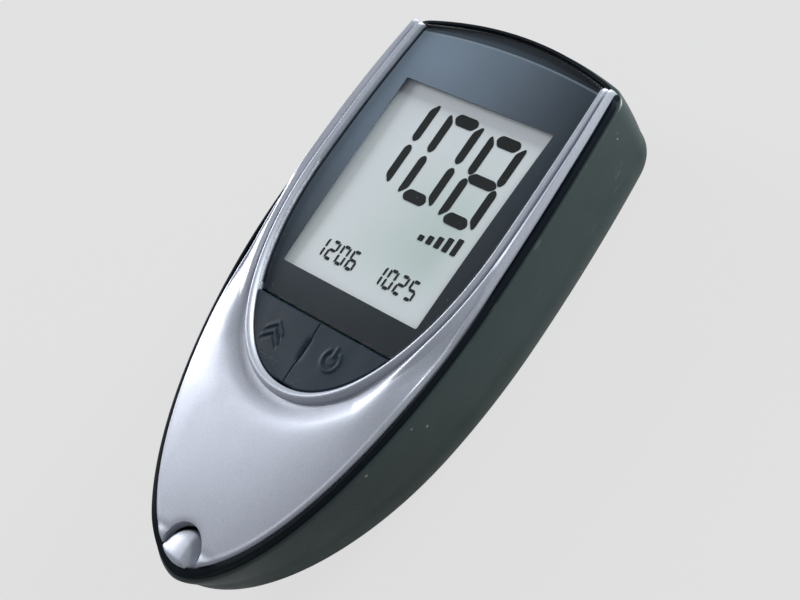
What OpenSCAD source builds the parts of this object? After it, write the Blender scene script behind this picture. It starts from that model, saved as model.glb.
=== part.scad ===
// Hand-held test-strip meter: a silver front shell over a dark tapering case,
// with a display window, two keys, a strip port in the nose and a battery bay.
// +Y points to the display end, +Z out of the display; it rests on its back.

/* [Body] */
// Length from the nose to the display end
body_len = 100; // [96:1:106]
// Greatest width of the case
body_w = 51; // [50:0.5:56]
// Height of the highest place of the front arc above the table
front_h = 20; // [19.8:0.2:23]
// Radius of the long arc that the front follows
front_arc_r = 750; // [600:50:2000]
// Distance from the display end to the highest place of that arc
arc_peak_back = 30; // [20:1:40]
// Distance from the display end to the widest place of the case
widest_back = 41; // [38:1:44]
// How far each side has drawn in at the display end
shoulder_in = 2.9; // [2:0.1:3.4]
// How far the display end bows out between its corners
end_bow = 3.5; // [2.5:0.25:4]
// Reach of the rounding at each corner of the display end
corner_r = 3; // [2:0.25:3.5]
// Power that shapes the nose, where 0.5 gives an ellipse
nose_power = 0.55; // [0.5:0.01:0.6]

/* [Rear case] */
// Wall thickness of the case
case_wall = 2.2; // [1.8:0.1:2.4]
// Thickness of the case's floor
floor_t = 1.8; // [1.8:0.1:2.2]
// Width of the rounding between the floor and the walls
base_round_w = 4.8; // [4:0.2:5.4]
// Height of the rounding between the floor and the walls
base_round_h = 7; // [5.5:0.25:7.5]
// How far the walls draw in from the rim down to that rounding
wall_draft = 0.8; // [0.4:0.1:1.2]
// How far the underside has risen at the nose
nose_lift = 5; // [3:0.25:5.5]
// Distance from the nose to where the underside starts to rise
nose_lift_from = 38; // [32:1:42]
// Drop from the front arc to the case's rim
rim_drop = 2.3; // [2.1:0.1:2.6]
// Distance from the rim down to the fullest line of the walls
rim_round = 2.4; // [2:0.2:3]
// How far the rim lies inside that line
rim_soft = 0.15; // [0.1:0.05:0.25]
// Width of the rim's thin outer lip
lip_t = 0.65; // [0.5:0.05:0.8]
// Depth of the inner ledge that the front cover sits on, below the rim
ledge_drop = 1.5; // [1.2:0.1:1.8]
// Extra width of the rim at the nose
nose_rim = 1.1; // [0.8:0.1:1.4]

/* [Front cover] */
// Width of the shadow line between the cover and the case's lip
seam_gap = 0.35; // [0.2:0.05:0.5]
// Wall thickness of the cover
cover_t = 1.3; // [1.1:0.1:1.4]
// Fall of the cover's face from the arc to its outer edge
cover_edge_drop = 1.45; // [1.2:0.05:1.6]
// Gap between the cover's foot and the ledge
foot_gap = 0.08; // [0.05:0.01:0.15]
// Width of the raised ring round the display
ring_w = 42.2; // [41.6:0.2:42.8]
// Distance from the display end to the widest place of the ring
ring_widest_back = 33; // [30:1:36]
// Distance from the display end to the bottom of the ring's arch
arch_back = 67; // [66:0.5:69]
// How far the ring has drawn in at the display end
ring_taper = 1.5; // [1.3:0.1:1.9]
// Power that shapes the ring's arch
arch_power = 0.47; // [0.45:0.01:0.5]
// Width of the ring's rib where it runs straight
rib_w = 1.1; // [0.9:0.1:1.3]
// Extra width of the rib at the bottom of the arch
rib_grow = 0.6; // [0.3:0.1:0.9]
// How far the rib stands above the front arc
rib_rise = 0.35; // [0.2:0.05:0.5]
// Depth of the groove and the hollow that follow the rib
moat_depth = 0.6; // [0.4:0.05:0.8]
// Distance from the display end to the capped ends of the ribs
rib_end_back = 4.2; // [4:0.1:5]
// Width of the inner shelf that the lens lies on
shelf_w = 1.2; // [1:0.1:1.4]
// Width of the shelf under the keys' edges
key_shelf_w = 0.8; // [0.6:0.1:0.9]
// Thickness of both shelves
shelf_t = 0.7; // [0.5:0.05:0.8]

/* [Strip port] */
// Width of the notch in the nose of the cover
notch_w = 8.8; // [8:0.2:10]
// Distance from the nose to the top of the notch
notch_len = 8.2; // [7.6:0.2:9]
// Flare of the notch's rim
notch_flare = 1.2; // [0.8:0.1:1.5]
// Gap round the tongue in the notch
tongue_gap = 0.3; // [0.2:0.05:0.4]
// Thickness of the tongue below the slot's floor
tongue_under = 0.9; // [0.75:0.05:0.95]
// Radius of the tongue's domed face
tongue_dome_r = 12; // [10:0.5:16]
// Drop from the front arc to the strip slot's floor, at the top of the notch
slot_drop = 3.15; // [3.05:0.05:3.25]
// Height of the strip slot
slot_h = 0.65; // [0.55:0.05:0.7]
// Width of the strip slot
slot_w = 6.4; // [5:0.2:7]
// Length of the strip socket's block
socket_len = 7; // [6:0.25:8]
// Width of the strip socket
socket_w = 10; // [9:0.25:10.4]
// Height of the strip socket below its slot's floor
socket_under = 1.9; // [1.5:0.1:3]
// Width of each strip contact
strip_contact_w = 0.6; // [0.4:0.1:0.9]
// Distance between neighbouring strip contacts
strip_contact_pitch = 1.4; // [1.2:0.1:1.6]

/* [Display] */
// Thickness of the display lens
lens_t = 1.3; // [1:0.1:1.4]
// Gap between the lens and the ring
lens_gap = 0.15; // [0.1:0.05:0.25]
// Fall of the lens where it turns down over the display end
lens_turn_drop = 1.9; // [1.6:0.1:2]
// Length over which the lens turns down
lens_turn = 3.3; // [2.7:0.2:3.7]
// How far the fold line of that turn bows out
lens_crease_bow = 1; // [0.6:0.1:1.2]
// Distance from the lens's edge to the display end
lens_end_gap = 0.4; // [0.3:0.1:0.6]
// Thickness of the printed mask behind the lens
mask_t = 0.2; // [0.15:0.05:0.25]
// Distance from the display end to the window's upper edge
window_back = 13.7; // [13.2:0.25:15]
// Length of the window
window_len = 36; // [34:0.5:37]
// Width of the window at its upper edge
window_w_top = 33.2; // [30:0.2:34]
// Width of the window at its lower edge
window_w_low = 31.8; // [29:0.2:32.4]
// Depth of the display panel's face below the front arc's highest place
panel_drop = 2.65; // [2.6:0.05:2.8]
// Thickness of the display panel
panel_t = 1.3; // [1:0.05:1.35]
// Width of the display panel
panel_w = 35.2; // [34.4:0.2:35.6]
// Length of the display panel
panel_len = 39; // [37.5:0.25:39.2]
// Wall thickness of the frame round the panel
frame_wall = 1.2; // [0.8:0.1:1.3]
// Height of the large digits
digit_h = 16; // [12:0.5:17]
// Width of the large digits
digit_w = 6.4; // [6:0.2:8.4]
// Distance between the large digits
digit_pitch = 9.8; // [9:0.2:10.4]
// Stroke of the large digits
digit_stroke = 1.5; // [0.9:0.1:1.8]
// Distance from the window's upper edge to the large digits
digit_margin = 2.6; // [2:0.2:3]
// Distance from the window's right edge to the middle of the last large digit
digit_side = 7.5; // [7:0.25:8]
// Height of the small digits
small_digit_h = 3.2; // [2.4:0.2:3.6]
// Stroke of the small digits
small_stroke = 0.4; // [0.3:0.05:0.5]
// Distance from the window's lower edge to the middle of the small digits
small_digit_y = 5; // [4:0.25:5.5]
// Distance from the middle to the first small digit on the left
left_row_x = 11.2; // [10.5:0.1:11.6]
// Distance from the middle to the first small digit on the right
right_row_x = 2.6; // [2:0.1:3.2]
// Distance from the window's lower edge to the rising bars
bars_y = 12.6; // [12:0.1:13]
// Distance from the middle to the first of the rising bars
bars_x = 5; // [4.5:0.1:6]
// Width of each rising bar
bar_w = 1.2; // [0.8:0.1:1.4]
// Distance between neighbouring bars
bar_pitch = 1.8; // [1.6:0.1:2]
// Height of the lowest bar
bar_h = 1; // [0.6:0.1:1.2]
// Growth from each bar to the next
bar_rise = 0.45; // [0.3:0.05:0.5]
// Thickness of the digit film
film_t = 0.08; // [0.06:0.01:0.1]

/* [Keys] */
// Distance from the display end to the split between lens and keys
split_back = 55.6; // [55:0.2:56.4]
// Gap between the keys and what lies beside them
key_gap = 0.3; // [0.2:0.05:0.4]
// Depth of the keys' faces below the front arc
key_sink = 0.25; // [0.15:0.05:0.4]
// Thickness of the keys' caps
key_t = 1.35; // [1.2:0.05:1.4]
// Travel of each key
key_travel = 0.5; // [0.3:0.05:0.5]
// Distance of each key's switch from the middle
key_x = 6.4; // [6:0.1:6.8]
// Distance from the split to the switches
key_y_off = 4.8; // [4.4:0.1:5]
// Diameter of the guide posts under the keys
post_d = 1.6; // [1.2:0.1:1.8]
// Distance from each switch to its guide posts
post_off = 3.9; // [3.8:0.05:4]
// Play round each guide post and plunger
running_play = 0.05; // [0.03:0.01:0.08]
// Thickness of the key guide
guide_t = 1.4; // [1:0.1:1.5]
// Side of each switch
switch_w = 5; // [4.4:0.1:5]
// Height of each switch above the board
switch_h = 1.5; // [1.3:0.05:1.6]
// Diameter of each switch's plunger
plunger_d = 2.4; // [1.6:0.1:3]
// How far each plunger stands out of its switch
plunger_out = 0.5; // [0.5:0.05:0.6]

/* [Board] */
// Thickness of the main board
board_t = 1; // [0.8:0.1:1]
// Depth of the board's upper face below the front arc's highest place
board_drop = 4.8; // [4.75:0.05:4.85]
// Width of the board under the display
board_w = 38.6; // [38:0.2:39.2]
// Width of the board's narrow nose
board_nose_w = 23; // [19:0.5:24]
// Width of the board's neck at the display end
board_neck_w = 28; // [26:0.5:28.4]
// Distance from the nose to the board's lower end
board_nose_back = 16.3; // [16:0.1:16.6]
// Distance from the display end to the board's upper end
board_end_back = 5.6; // [5.4:0.1:5.8]

// Side of the processor
processor_w = 9; // [7:0.5:9]
// Thickness of the processor
processor_t = 1.2; // [0.8:0.1:1.6]
// Width of the memory chip
memory_w = 6; // [4:0.5:6]
// Length of the memory chip
memory_l = 4; // [3:0.5:4]
// Thickness of the memory chip
memory_t = 1.4; // [0.8:0.1:1.6]
// Width of the display driver
driver_w = 9; // [6:0.5:12]
// Length of the display driver
driver_l = 6; // [4:0.5:8]
// Thickness of the display driver
driver_t = 0.45; // [0.3:0.05:0.5]
// Diameter of the clock crystal's can
crystal_d = 2; // [1.6:0.1:2]
// Length of the clock crystal's can
crystal_len = 5.6; // [5:0.1:6]
// Diameter of the buzzer
buzzer_d = 9; // [7:0.5:9]
// Thickness of the buzzer
buzzer_t = 2.4; // [1.8:0.1:3]
// Length of each capacitor
capacitor_w = 1.6; // [1:0.2:2]
// Thickness of each capacitor
capacitor_t = 0.8; // [0.5:0.1:0.9]
// Distance between neighbouring capacitors
capacitor_pitch = 3; // [2.4:0.2:3.2]

/* [Battery bay] */
// Diameter of a cell
cell_d = 10.5; // [10:0.1:10.6]
// Length of a cell with its button
cell_len = 44.5; // [43.5:0.25:44.75]
// Diameter of a cell's button
button_d = 3.8; // [3:0.2:4.4]
// Height of a cell's button
button_h = 1.2; // [0.8:0.1:1.4]
// Distance between the middles of the cells
cell_pitch = 11.4; // [11:0.1:11.8]
// Room over and beside the cells
cell_play = 0.15; // [0.1:0.05:0.25]
// Length left for a contact spring
spring_room = 3.6; // [3:0.2:4]
// Thickness of the sheet contacts
contact_t = 0.4; // [0.3:0.05:0.5]
// Side of each sheet contact
contact_w = 8.4; // [7:0.2:9]
// Diameter of the contact springs' wire
spring_wire = 0.5; // [0.4:0.05:0.6]
// Width of each contact spring at its foot
spring_w = 6.4; // [5:0.2:7]
// Width of each contact spring at its tip
spring_tip_w = 4.4; // [3.6:0.2:4.8]
// Turns of each contact spring
spring_turns = 2.5; // [2:0.5:3]
// Distance from the display end to the bay's upper end
bay_back = 6.1; // [6:0.1:6.4]
// Thickness of the bay's walls and roof
bay_wall = 0.9; // [0.7:0.1:1]
// Thickness of the sliding door
door_t = 1.5; // [1.3:0.1:1.5]
// Depth of the door's face above the table
door_sink = 0.15; // [0.1:0.05:0.25]
// Gap round the door
door_gap = 0.15; // [0.1:0.05:0.25]
// Width of the door's face
door_w = 27; // [26:0.5:28]
// Reach of the door's rails on each side
rail_w = 1.1; // [0.8:0.1:1.4]
// Thickness of the door's rails
rail_t = 0.55; // [0.4:0.05:0.7]
// How far the door reaches past the bay's lower end
door_over = 1.4; // [1:0.1:2]
// Number of grip ribs on the door
grip_ribs = 5; // [3:1:8]

/* [Screws] */
// Diameter of the case screws
screw_d = 2; // [1.6:0.1:2.2]
// Diameter of the case screws' heads
screw_head_d = 3.8; // [3.2:0.1:4]
// Height of the screws' heads
screw_head_h = 1.3; // [1:0.1:1.4]
// Diameter of the screw bosses
boss_d = 4.8; // [4.6:0.1:5]
// Depth of the holes that hold the case screws' heads
screw_recess = 4; // [3.4:0.2:5]
// Distance of the upper case screws from the middle
upper_screw_x = 17.6; // [17.4:0.1:17.8]
// Distance from the display end to the upper case screws
upper_screw_back = 8.5; // [8.3:0.1:8.6]
// Distance of the lower case screws from the middle
lower_screw_x = 15.6; // [15:0.1:16]
// Distance from the door's lower end to the lower case screws
lower_screw_off = 11; // [10.5:0.25:11.5]
// Distance of the board screws from the middle
board_screw_x = 16.6; // [16:0.1:16.8]
// Distance from the split to the board screws
board_screw_off = 3.6; // [3.2:0.1:4]

/* [Hidden] */
$fn = 48;
small = 0.05;
y_end = body_len / 2;
y_tip = -body_len / 2;
y_peak = y_end - arc_peak_back;
y_wide = y_end - widest_back;
y_ring = y_end - ring_widest_back;
y_arch = y_end - arch_back;
y_split = y_end - split_back;
y_rib_end = y_end - rib_end_back;
y_lift = y_tip + nose_lift_from;
cover_in = lip_t + seam_gap;
cover_nose_in = cover_in + nose_rim;

panel_z = front_h - panel_drop;
board_z = front_h - board_drop;
slot_z = arc_z(y_tip + notch_len) - slot_drop;
window_y1 = y_end - window_back;
window_y0 = window_y1 - window_len;
window_mid = (window_y0 + window_y1) / 2;
panel_y0 = window_mid - panel_len / 2;
panel_y1 = panel_y0 + panel_len;
key_y = y_split - key_y_off;

bay_y1 = y_end - bay_back;
bay_len = cell_len + spring_room + 2 * contact_t + 0.1;
bay_y0 = bay_y1 - bay_len;
bay_w = cell_pitch + cell_d + 2 * cell_play;
bay_roof_z = board_z - board_t - small * 8;
bay_top_z = bay_roof_z - bay_wall;
cell_z = bay_top_z - cell_play - cell_d / 2;
door_z = door_sink;
door_top_z = door_z + door_t;
block_top_z = door_top_z + 1.35;
door_y0 = bay_y0 - door_over;
rail_full_w = door_w + 2 * rail_w;
lower_screw_y = door_y0 - lower_screw_off;

n_nose = 16;
n_side = 7;
n_corner = 3;
n_end = 5;

// ---- Rules that the shapes share ----

function clamp01(v) = min(1, max(0, v));
function smooth(v) = let (t = clamp01(v)) t * t * (3 - 2 * t);
function mix(a, b, t) = a + (b - a) * t;

// Height of the front arc
function arc_z(y) = front_h - pow(y - y_peak, 2) / (2 * front_arc_r);
function rim_z(y) = arc_z(y) - rim_drop;
function under_z(y) = nose_lift * pow(clamp01((y_lift - y) / nose_lift_from), 2);

// Half width of the case at y, drawn in by d at the sides and by dn at the nose
function side_x(y, d = 0, dn = 0) =
    y < y_wide
        ? (body_w / 2 - d)
            * pow(clamp01(1 - pow((y_wide - y) / (y_wide - y_tip - dn), 2)), nose_power)
        : body_w / 2 - d - shoulder_in * pow((y - y_wide) / (y_end - y_wide), 2);

// Half width of the ring's inner edge at y, drawn in by d
function ring_x(y, d = 0) =
    y < y_ring
        ? (ring_w / 2 - d)
            * pow(clamp01(1 - pow((y_ring - y) / (y_ring - y_arch - d), 2)), arch_power)
        : ring_w / 2 - d - ring_taper * pow((y - y_ring) / (y_end - y_ring), 2);

// Right half of the case's outline, from the nose to the middle of the display end
function half_loop(d, dn) =
    let (
        reach = y_wide - y_tip - dn,
        yc = y_end - end_bow - d,
        xc = side_x(yc, d, dn),
        y1 = yc - corner_r,
        p1 = [side_x(y1, d, dn), y1],
        x2 = xc - corner_r,
        p2 = [x2, yc + end_bow * (1 - pow(x2 / xc, 2))]
    )
    concat(
        [for (i = [0:n_nose - 1])
            let (a = 90 * i / n_nose)
            [(body_w / 2 - d) * pow(sin(a), 2 * nose_power), y_wide - reach * cos(a)]],
        [for (i = [0:n_side])
            let (y = mix(y_wide, y1, i / n_side))
            [side_x(y, d, dn), y]],
        [for (i = [1:n_corner])
            let (t = i / n_corner, u = 1 - t)
            u * u * p1 + 2 * u * t * [xc, yc] + t * t * p2],
        [for (i = [1:n_end])
            let (x = x2 * (1 - i / n_end))
            [x, yc + end_bow * (1 - pow(x / xc, 2))]]
    );

function full_loop(d, dn) =
    let (half = half_loop(d, dn), last = len(half) - 1)
    concat(half, [for (i = [last - 1:-1:1]) [-half[i][0], half[i][1]]]);

// Outline of the case as a flat shape, for what is trimmed to it
module outline(d, dn) polygon(full_loop(d, dn));

// Closed solid from rings that run from the outer floor over the rim to the inner floor
module ring_solid(rings) {
    n = len(rings[0]);
    last = len(rings) - 1;
    half = n / 2;
    points = [for (r = rings) for (p = r) p];
    walls = [for (k = [0:last - 1]) for (i = [0:n - 1])
        let (j = (i + 1) % n, a = k * n + i, b = a + n, c = (k + 1) * n + j, e = k * n + j)
        each [[a, b, c], [a, c, e]]];
    low = [for (i = [0:half - 1])
        let (r0 = i, r1 = i + 1, l1 = n - i - 1, l0 = (n - i) % n)
        each (i == 0 ? [[r0, r1, l1]]
            : i == half - 1 ? [[r0, r1, l0]]
            : [[r0, r1, l1], [r0, l1, l0]])];
    s = last * n;
    high = [for (t = low) [t[2] + s, t[1] + s, t[0] + s]];
    polyhedron(points = points, faces = concat(walls, low, high), convexity = 8);
}

// Closed sheet between a grid of upper points and the same grid lowered by t
module sheet(rows, t) {
    n = len(rows);
    m = len(rows[0]);
    k = n * m;
    points = concat([for (r = rows) for (p = r) p], [for (r = rows) for (p = r) p - [0, 0, t]]);
    top = [for (i = [0:n - 2]) for (j = [0:m - 2])
        let (a = i * m + j)
        each [[a, a + m, a + m + 1], [a, a + m + 1, a + 1]]];
    under = [for (f = top) [f[2] + k, f[1] + k, f[0] + k]];
    edge = concat(
        [for (j = [0:m - 2]) j],
        [for (i = [0:n - 2]) i * m + m - 1],
        [for (j = [m - 1:-1:1]) (n - 1) * m + j],
        [for (i = [n - 1:-1:1]) i * m]);
    side = [for (i = [0:len(edge) - 1])
        let (a = edge[i], b = edge[(i + 1) % len(edge)])
        each [[a, b, b + k], [a, b + k, a + k]]];
    polyhedron(points = points, faces = concat(top, under, side), convexity = 6);
}

// ---- Rear case ----

function level(d, dn, rule) = [for (p = full_loop(d, dn)) [p[0], p[1], rule[0] == "floor"
    ? under_z(p[1]) + rule[1]
    : rim_z(p[1]) - rule[1]]];

function round_level(a, inset, lift, w, h, nose = 0) =
    let (d = inset + w * (1 - sin(a)))
    level(d, d + nose, ["floor", lift + h * (1 - cos(a))]);

// Case as a plain solid up to its rim, for what is trimmed to its outside
module case_solid() ring_solid(concat(
    [for (a = [0, 22.5, 45, 67.5, 90])
        round_level(a, wall_draft, 0, base_round_w, base_round_h)],
    [level(0, 0, ["rim", rim_round]), level(rim_soft, rim_soft, ["rim", 0])]));

module case_cup() {
    inner_w = base_round_w - 1;
    inner_h = base_round_h - floor_t;
    deep = wall_draft + case_wall;
    ring_solid(concat(
        [for (a = [0, 22.5, 45, 67.5, 90])
            round_level(a, wall_draft, 0, base_round_w, base_round_h)],
        [level(0, 0, ["rim", rim_round]),
            level(rim_soft, rim_soft, ["rim", 0]),
            level(lip_t, lip_t + nose_rim, ["rim", 0]),
            level(lip_t, lip_t + nose_rim, ["rim", ledge_drop]),
            level(case_wall, case_wall + nose_rim, ["rim", ledge_drop])],
        [for (a = [90, 45, 0])
            round_level(a, deep, floor_t, inner_w, inner_h, nose_rim)]));
}

module at_case_screws() {
    for (s = [-1, 1]) {
        translate([s * upper_screw_x, y_end - upper_screw_back, 0]) children();
        translate([s * lower_screw_x, lower_screw_y, 0]) children();
    }
}

module at_board_screws()
    for (s = [-1, 1])
        translate([s * board_screw_x, y_split - board_screw_off, 0]) children();

module at_cells() {
    translate([-cell_pitch / 2, 0, cell_z]) children();
    translate([cell_pitch / 2, bay_y0 + bay_y1, cell_z]) rotate([0, 0, 180]) children();
}

// Slab that the door slides in, with its rails
module door_slab(gap, y0, y1, trim = 0) {
    face_w = door_w + 2 * gap;
    full_w = rail_full_w + 2 * gap;
    translate([-face_w / 2, y0 - gap, -1])
        cube([face_w, y1 - y0 + gap, door_top_z + 1 + gap - trim]);
    translate([-full_w / 2, y0 - gap, door_top_z - rail_t - gap])
        cube([full_w, y1 - y0 + gap, rail_t + 2 * gap - trim]);
}

module rear_case() color("#20282b") {
    boss_top = board_z - board_t - 0.1;
    rim_cut_z = arc_z(y_end) - lens_turn_drop - lens_t - mask_t - 0.2;
    rim_cut_w = 2 * ring_x(y_end) + 0.6;
    difference() {
        union() {
            case_cup();
            translate([-bay_w / 2 - bay_wall, bay_y0 - bay_wall, floor_t / 2])
                cube([bay_w + 2 * bay_wall, bay_len + 2 * bay_wall, bay_roof_z - floor_t / 2]);
            translate([-rail_full_w / 2 - 1.2, door_y0 - 1.2, floor_t / 2])
                cube([rail_full_w + 2.4, bay_y1 + bay_wall - door_y0 + 1.2,
                    block_top_z - floor_t / 2]);
            intersection() {
                at_case_screws() cylinder(d = boss_d, h = boss_top);
                case_solid();
            }
            at_board_screws()
                translate([0, 0, floor_t / 2])
                    cylinder(d = boss_d - 0.8, h = board_z - board_t - floor_t / 2);
            translate([-notch_w / 2 + 0.8, y_tip + case_wall + 0.4, slot_z - tongue_under - 1.6])
                cube([notch_w - 1.6, notch_len - case_wall, 1.55]);
            for (sx = [-1, 1], sy = [bay_y0 + 4, bay_y1 - 4])
                translate([sx * (bay_w / 2 - 2), sy, bay_roof_z - small])
                    cylinder(d = 3, h = board_z - board_t - bay_roof_z + small);
        }
        translate([-bay_w / 2, bay_y0, -1]) cube([bay_w, bay_len, bay_top_z + 1]);
        door_slab(door_gap, door_y0, y_end + 2);
        at_cells()
            for (y = [bay_y0, bay_y1 - contact_t])
                translate([-1.2, y - small, 0])
                    cube([2.4, contact_t + 2 * small, bay_roof_z]);
        at_case_screws() {
            translate([0, 0, -1]) cylinder(d = screw_head_d + 0.6, h = screw_recess + 1);
            cylinder(d = screw_d + 0.4, h = front_h);
        }
        at_board_screws()
            translate([0, 0, board_z - board_t - 7]) cylinder(d = screw_d, h = 8);
        translate([-rim_cut_w / 2, y_rib_end - 0.3, rim_cut_z])
            cube([rim_cut_w, y_end - y_rib_end + 2, front_h]);
    }
}

module battery_door() color("#262e31") {
    grip_y = y_end - 17;
    difference() {
        intersection() {
            union() {
                translate([-door_w / 2, door_y0, door_z])
                    cube([door_w, y_end - door_y0, door_t]);
                translate([-rail_full_w / 2, door_y0, door_top_z - rail_t])
                    cube([rail_full_w, y_end - door_y0, rail_t]);
            }
            case_solid();
        }
        for (i = [0:grip_ribs - 1])
            translate([-6, grip_y + i * 2, door_z - 1]) cube([12, 1, 1.5]);
    }
}

// ---- Front cover ----

// Right half of the ring's inner edge, from the arch's bottom to the rib's end
function ring_half() =
    let (reach = y_ring - y_arch, n = 13, m = 6, y1 = y_rib_end - 1)
    concat(
        [for (i = [0:n - 1])
            let (a = 90 * i / n)
            [ring_w / 2 * pow(sin(a), 2 * arch_power), y_ring - reach * cos(a)]],
        [for (i = [0:m]) let (y = mix(y_ring, y1, i / m)) [ring_x(y), y]],
        [for (k = [0.5, 1]) let (y = mix(y1, y_rib_end, k)) [ring_x(y), y]]);

function outward(p, q) = let (t = (q - p) / norm(q - p)) [t[1], -t[0]];

// Distance from p along the direction n to the cover's outer edge
function reach_to_edge(p, n, lo, hi, k) =
    let (m = (lo + hi) / 2, q = p + m * n)
    k == 0 ? m
    : q[1] > y_tip + cover_nose_in && q[0] < side_x(q[1], cover_in, cover_nose_in)
        ? reach_to_edge(p, n, m, hi, k - 1)
        : reach_to_edge(p, n, lo, m, k - 1);

// Face of the cover at e from the ring's edge, where the edge is span away
function face_z(e, span) =
    let (
        s = clamp01((span - 3) / 9),
        w = rib_w + rib_grow * s,
        t = clamp01((e - w) / (span - w)),
        spread = 0.2 + 2.4 * s
    )
    e < w
        ? rib_rise - moat_depth * pow(abs(2 * e / w - 1), 2.4)
        : (rib_rise - moat_depth * (1 + 0.5 * s)) * exp(-pow((e - w) / spread, 2))
            + 0.15 * (1 - exp(-pow((e - w) / spread, 2)))
            - (cover_edge_drop + 0.15) * pow(t, 2.2);

// One upright section through the cover, from its outer foot round to its inner foot
function cover_section(p, n) =
    let (
        span = reach_to_edge(p, n, 0.5, body_len, 24),
        s = clamp01((span - 3) / 9),
        w = rib_w + rib_grow * s,
        foot = max(span - cover_t, span / 2),
        cap = pow(clamp01((p[1] - y_rib_end + 1) / 1), 2),
        at_lens = p[1] > y_split + 1,
        pocket = at_lens ? lens_t + mask_t + 0.1 + 0.25 * cap
            : key_sink + key_t + key_travel + 0.3,
        shelf = at_lens ? shelf_w : key_shelf_w,
        es = concat([for (t = [1, 0.92, 0.75, 0.5, 0.3, 0.15, 0.06]) w + (span - w) * t],
            [for (t = [1, 0.8, 0.5, 0.2, 0]) w * t]),
        outer = p + span * n,
        foot_z = rim_z(outer[1]) - ledge_drop + foot_gap
    )
    concat(
        [[outer[0], outer[1], foot_z]],
        [for (e = es)
            let (q = p + e * n)
            [q[0], q[1], arc_z(q[1]) + face_z(e, span) - cap]],
        [for (c = [[0, pocket], [-shelf, pocket], [-shelf, pocket + shelf_t],
                [0, pocket + shelf_t]])
            let (q = p + c[0] * n)
            [q[0], q[1], arc_z(q[1]) - c[1]]],
        [for (e = [foot / 2, foot])
            let (q = p + e * n)
            [q[0], q[1], arc_z(q[1]) + face_z(e, span) - cover_t - 0.1]],
        [let (q = p + foot * n) [q[0], q[1], foot_z]]
    );

module cover_shell() {
    half = ring_half();
    n = len(half);
    right = [for (i = [0:n - 1])
        let (a = half[max(0, i - 1)], b = half[min(n - 1, i + 1)],
            d = i == 0 ? [0, -1] : outward(a, b))
        cover_section(half[i], d)];
    left = [for (i = [n - 1:-1:1]) [for (p = right[i]) [-p[0], p[1], p[2]]]];
    rows = concat(left, right);
    m = len(rows[0]);
    last = len(rows) - 1;
    points = [for (r = rows) for (p = r) p];
    skin = [for (i = [0:last - 1]) for (j = [0:m - 1])
        let (k = (j + 1) % m, a = i * m + j, b = i * m + k, c = b + m, e = a + m)
        each [[a, b, c], [a, c, e]]];
    caps = [[for (j = [m - 1:-1:0]) j], [for (j = [0:m - 1]) last * m + j]];
    polyhedron(points = points, faces = concat(skin, caps), convexity = 10);
}

// Notch shape in the nose, grown by g
module notch_shape(g) {
    r = notch_w / 2 + g;
    y = y_tip + notch_len - notch_w / 2;
    translate([0, y]) circle(r);
    translate([-r, y_tip - 2]) square([2 * r, y - y_tip + 2]);
}

module front_cover() color("#c3c7d2") {
    cut_z = slot_z - 3;
    notch_y = y_tip + notch_len - notch_w / 2;
    boss_low = board_z - board_t + 0.1;
    difference() {
        union() {
            cover_shell();
            for (s = [-1, 1]) {
                translate([s * upper_screw_x, y_end - upper_screw_back, boss_low])
                    cylinder(d = boss_d - 0.4, h = arc_z(y_end - upper_screw_back)
                        - lens_t - mask_t - 0.15 - boss_low);
                translate([s * lower_screw_x, lower_screw_y, boss_low])
                    cylinder(d = boss_d - 0.4, h = arc_z(lower_screw_y) - cover_t - boss_low);
            }
        }
        translate([0, 0, cut_z]) linear_extrude(front_h) notch_shape(0);
        translate([0, notch_y, slot_z + slot_h])
            cylinder(r1 = notch_w / 2 - 0.1, r2 = notch_w / 2 + notch_flare + 0.5, h = 2.4);
        at_case_screws()
            translate([0, 0, boss_low - 1]) cylinder(d = screw_d + 0.1, h = 3.6);
    }
}

// ---- Lens and display ----

// Rows of a curved sheet that fills the ring above the split and turns down at the end
function lens_rows(inset, sink) =
    let (
        y0 = y_split + key_gap / 2,
        y_last = y_end - lens_end_gap - inset,
        y1 = y_last - lens_turn - lens_crease_bow,
        cols = 8,
        flat = [for (i = [0:12])
            let (y = mix(y0, y1, i / 12), w = ring_x(y) - lens_gap - inset, f = smooth(i / 4 - 2))
            [for (j = [0:cols])
                let (u = 2 * j / cols - 1, yy = y + f * lens_crease_bow * (1 - u * u))
                [u * w, yy, arc_z(yy) - sink]]],
        turn = [for (i = [1:3])
            let (t = i / 3, w = ring_x(y1) - lens_gap - inset)
            [for (j = [0:cols])
                let (u = 2 * j / cols - 1,
                    bow = end_bow * pow(w / side_x(y_end - end_bow), 2),
                    yy = mix(y1 + lens_crease_bow * (1 - u * u), y_last - bow * u * u, t))
                [u * w, yy, arc_z(yy) - sink - lens_turn_drop * pow(t, 1.4)]]]
    )
    concat(flat, turn);

module window_shape(g) polygon([
    [-window_w_low / 2 - g, window_y0 - g], [window_w_low / 2 + g, window_y0 - g],
    [window_w_top / 2 + g, window_y1 + g], [-window_w_top / 2 - g, window_y1 + g]]);

module display_lens() color("#46525e") sheet(lens_rows(0, 0), lens_t);

module display_mask() color("#101418") difference() {
    sheet(lens_rows(0.4, lens_t + 0.02), mask_t);
    translate([0, 0, panel_z]) linear_extrude(front_h) window_shape(0);
}

module panel_box(g, z, h)
    translate([-panel_w / 2 - g, panel_y0 - g, z])
        cube([panel_w + 2 * g, panel_len + 2 * g, h]);

module lcd_panel() color("#b9c8c6") panel_box(0, panel_z - panel_t, panel_t);

module lcd_reflector() color("#dfe3e0")
    panel_box(-1.8, panel_z - panel_t - 0.25, 0.25);

module lcd_frame() color("#e4e6e6") difference() {
    panel_box(frame_wall, board_z, panel_z - 0.3 - board_z);
    panel_box(0.1, board_z - 1, front_h);
}

module lcd_connectors() color("#33302f")
    for (y = [panel_y0 + 0.1, panel_y1 - 1.7])
        translate([-panel_w / 2 + 1, y, board_z])
            cube([panel_w - 2, 1.6, panel_z - panel_t - board_z]);

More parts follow.
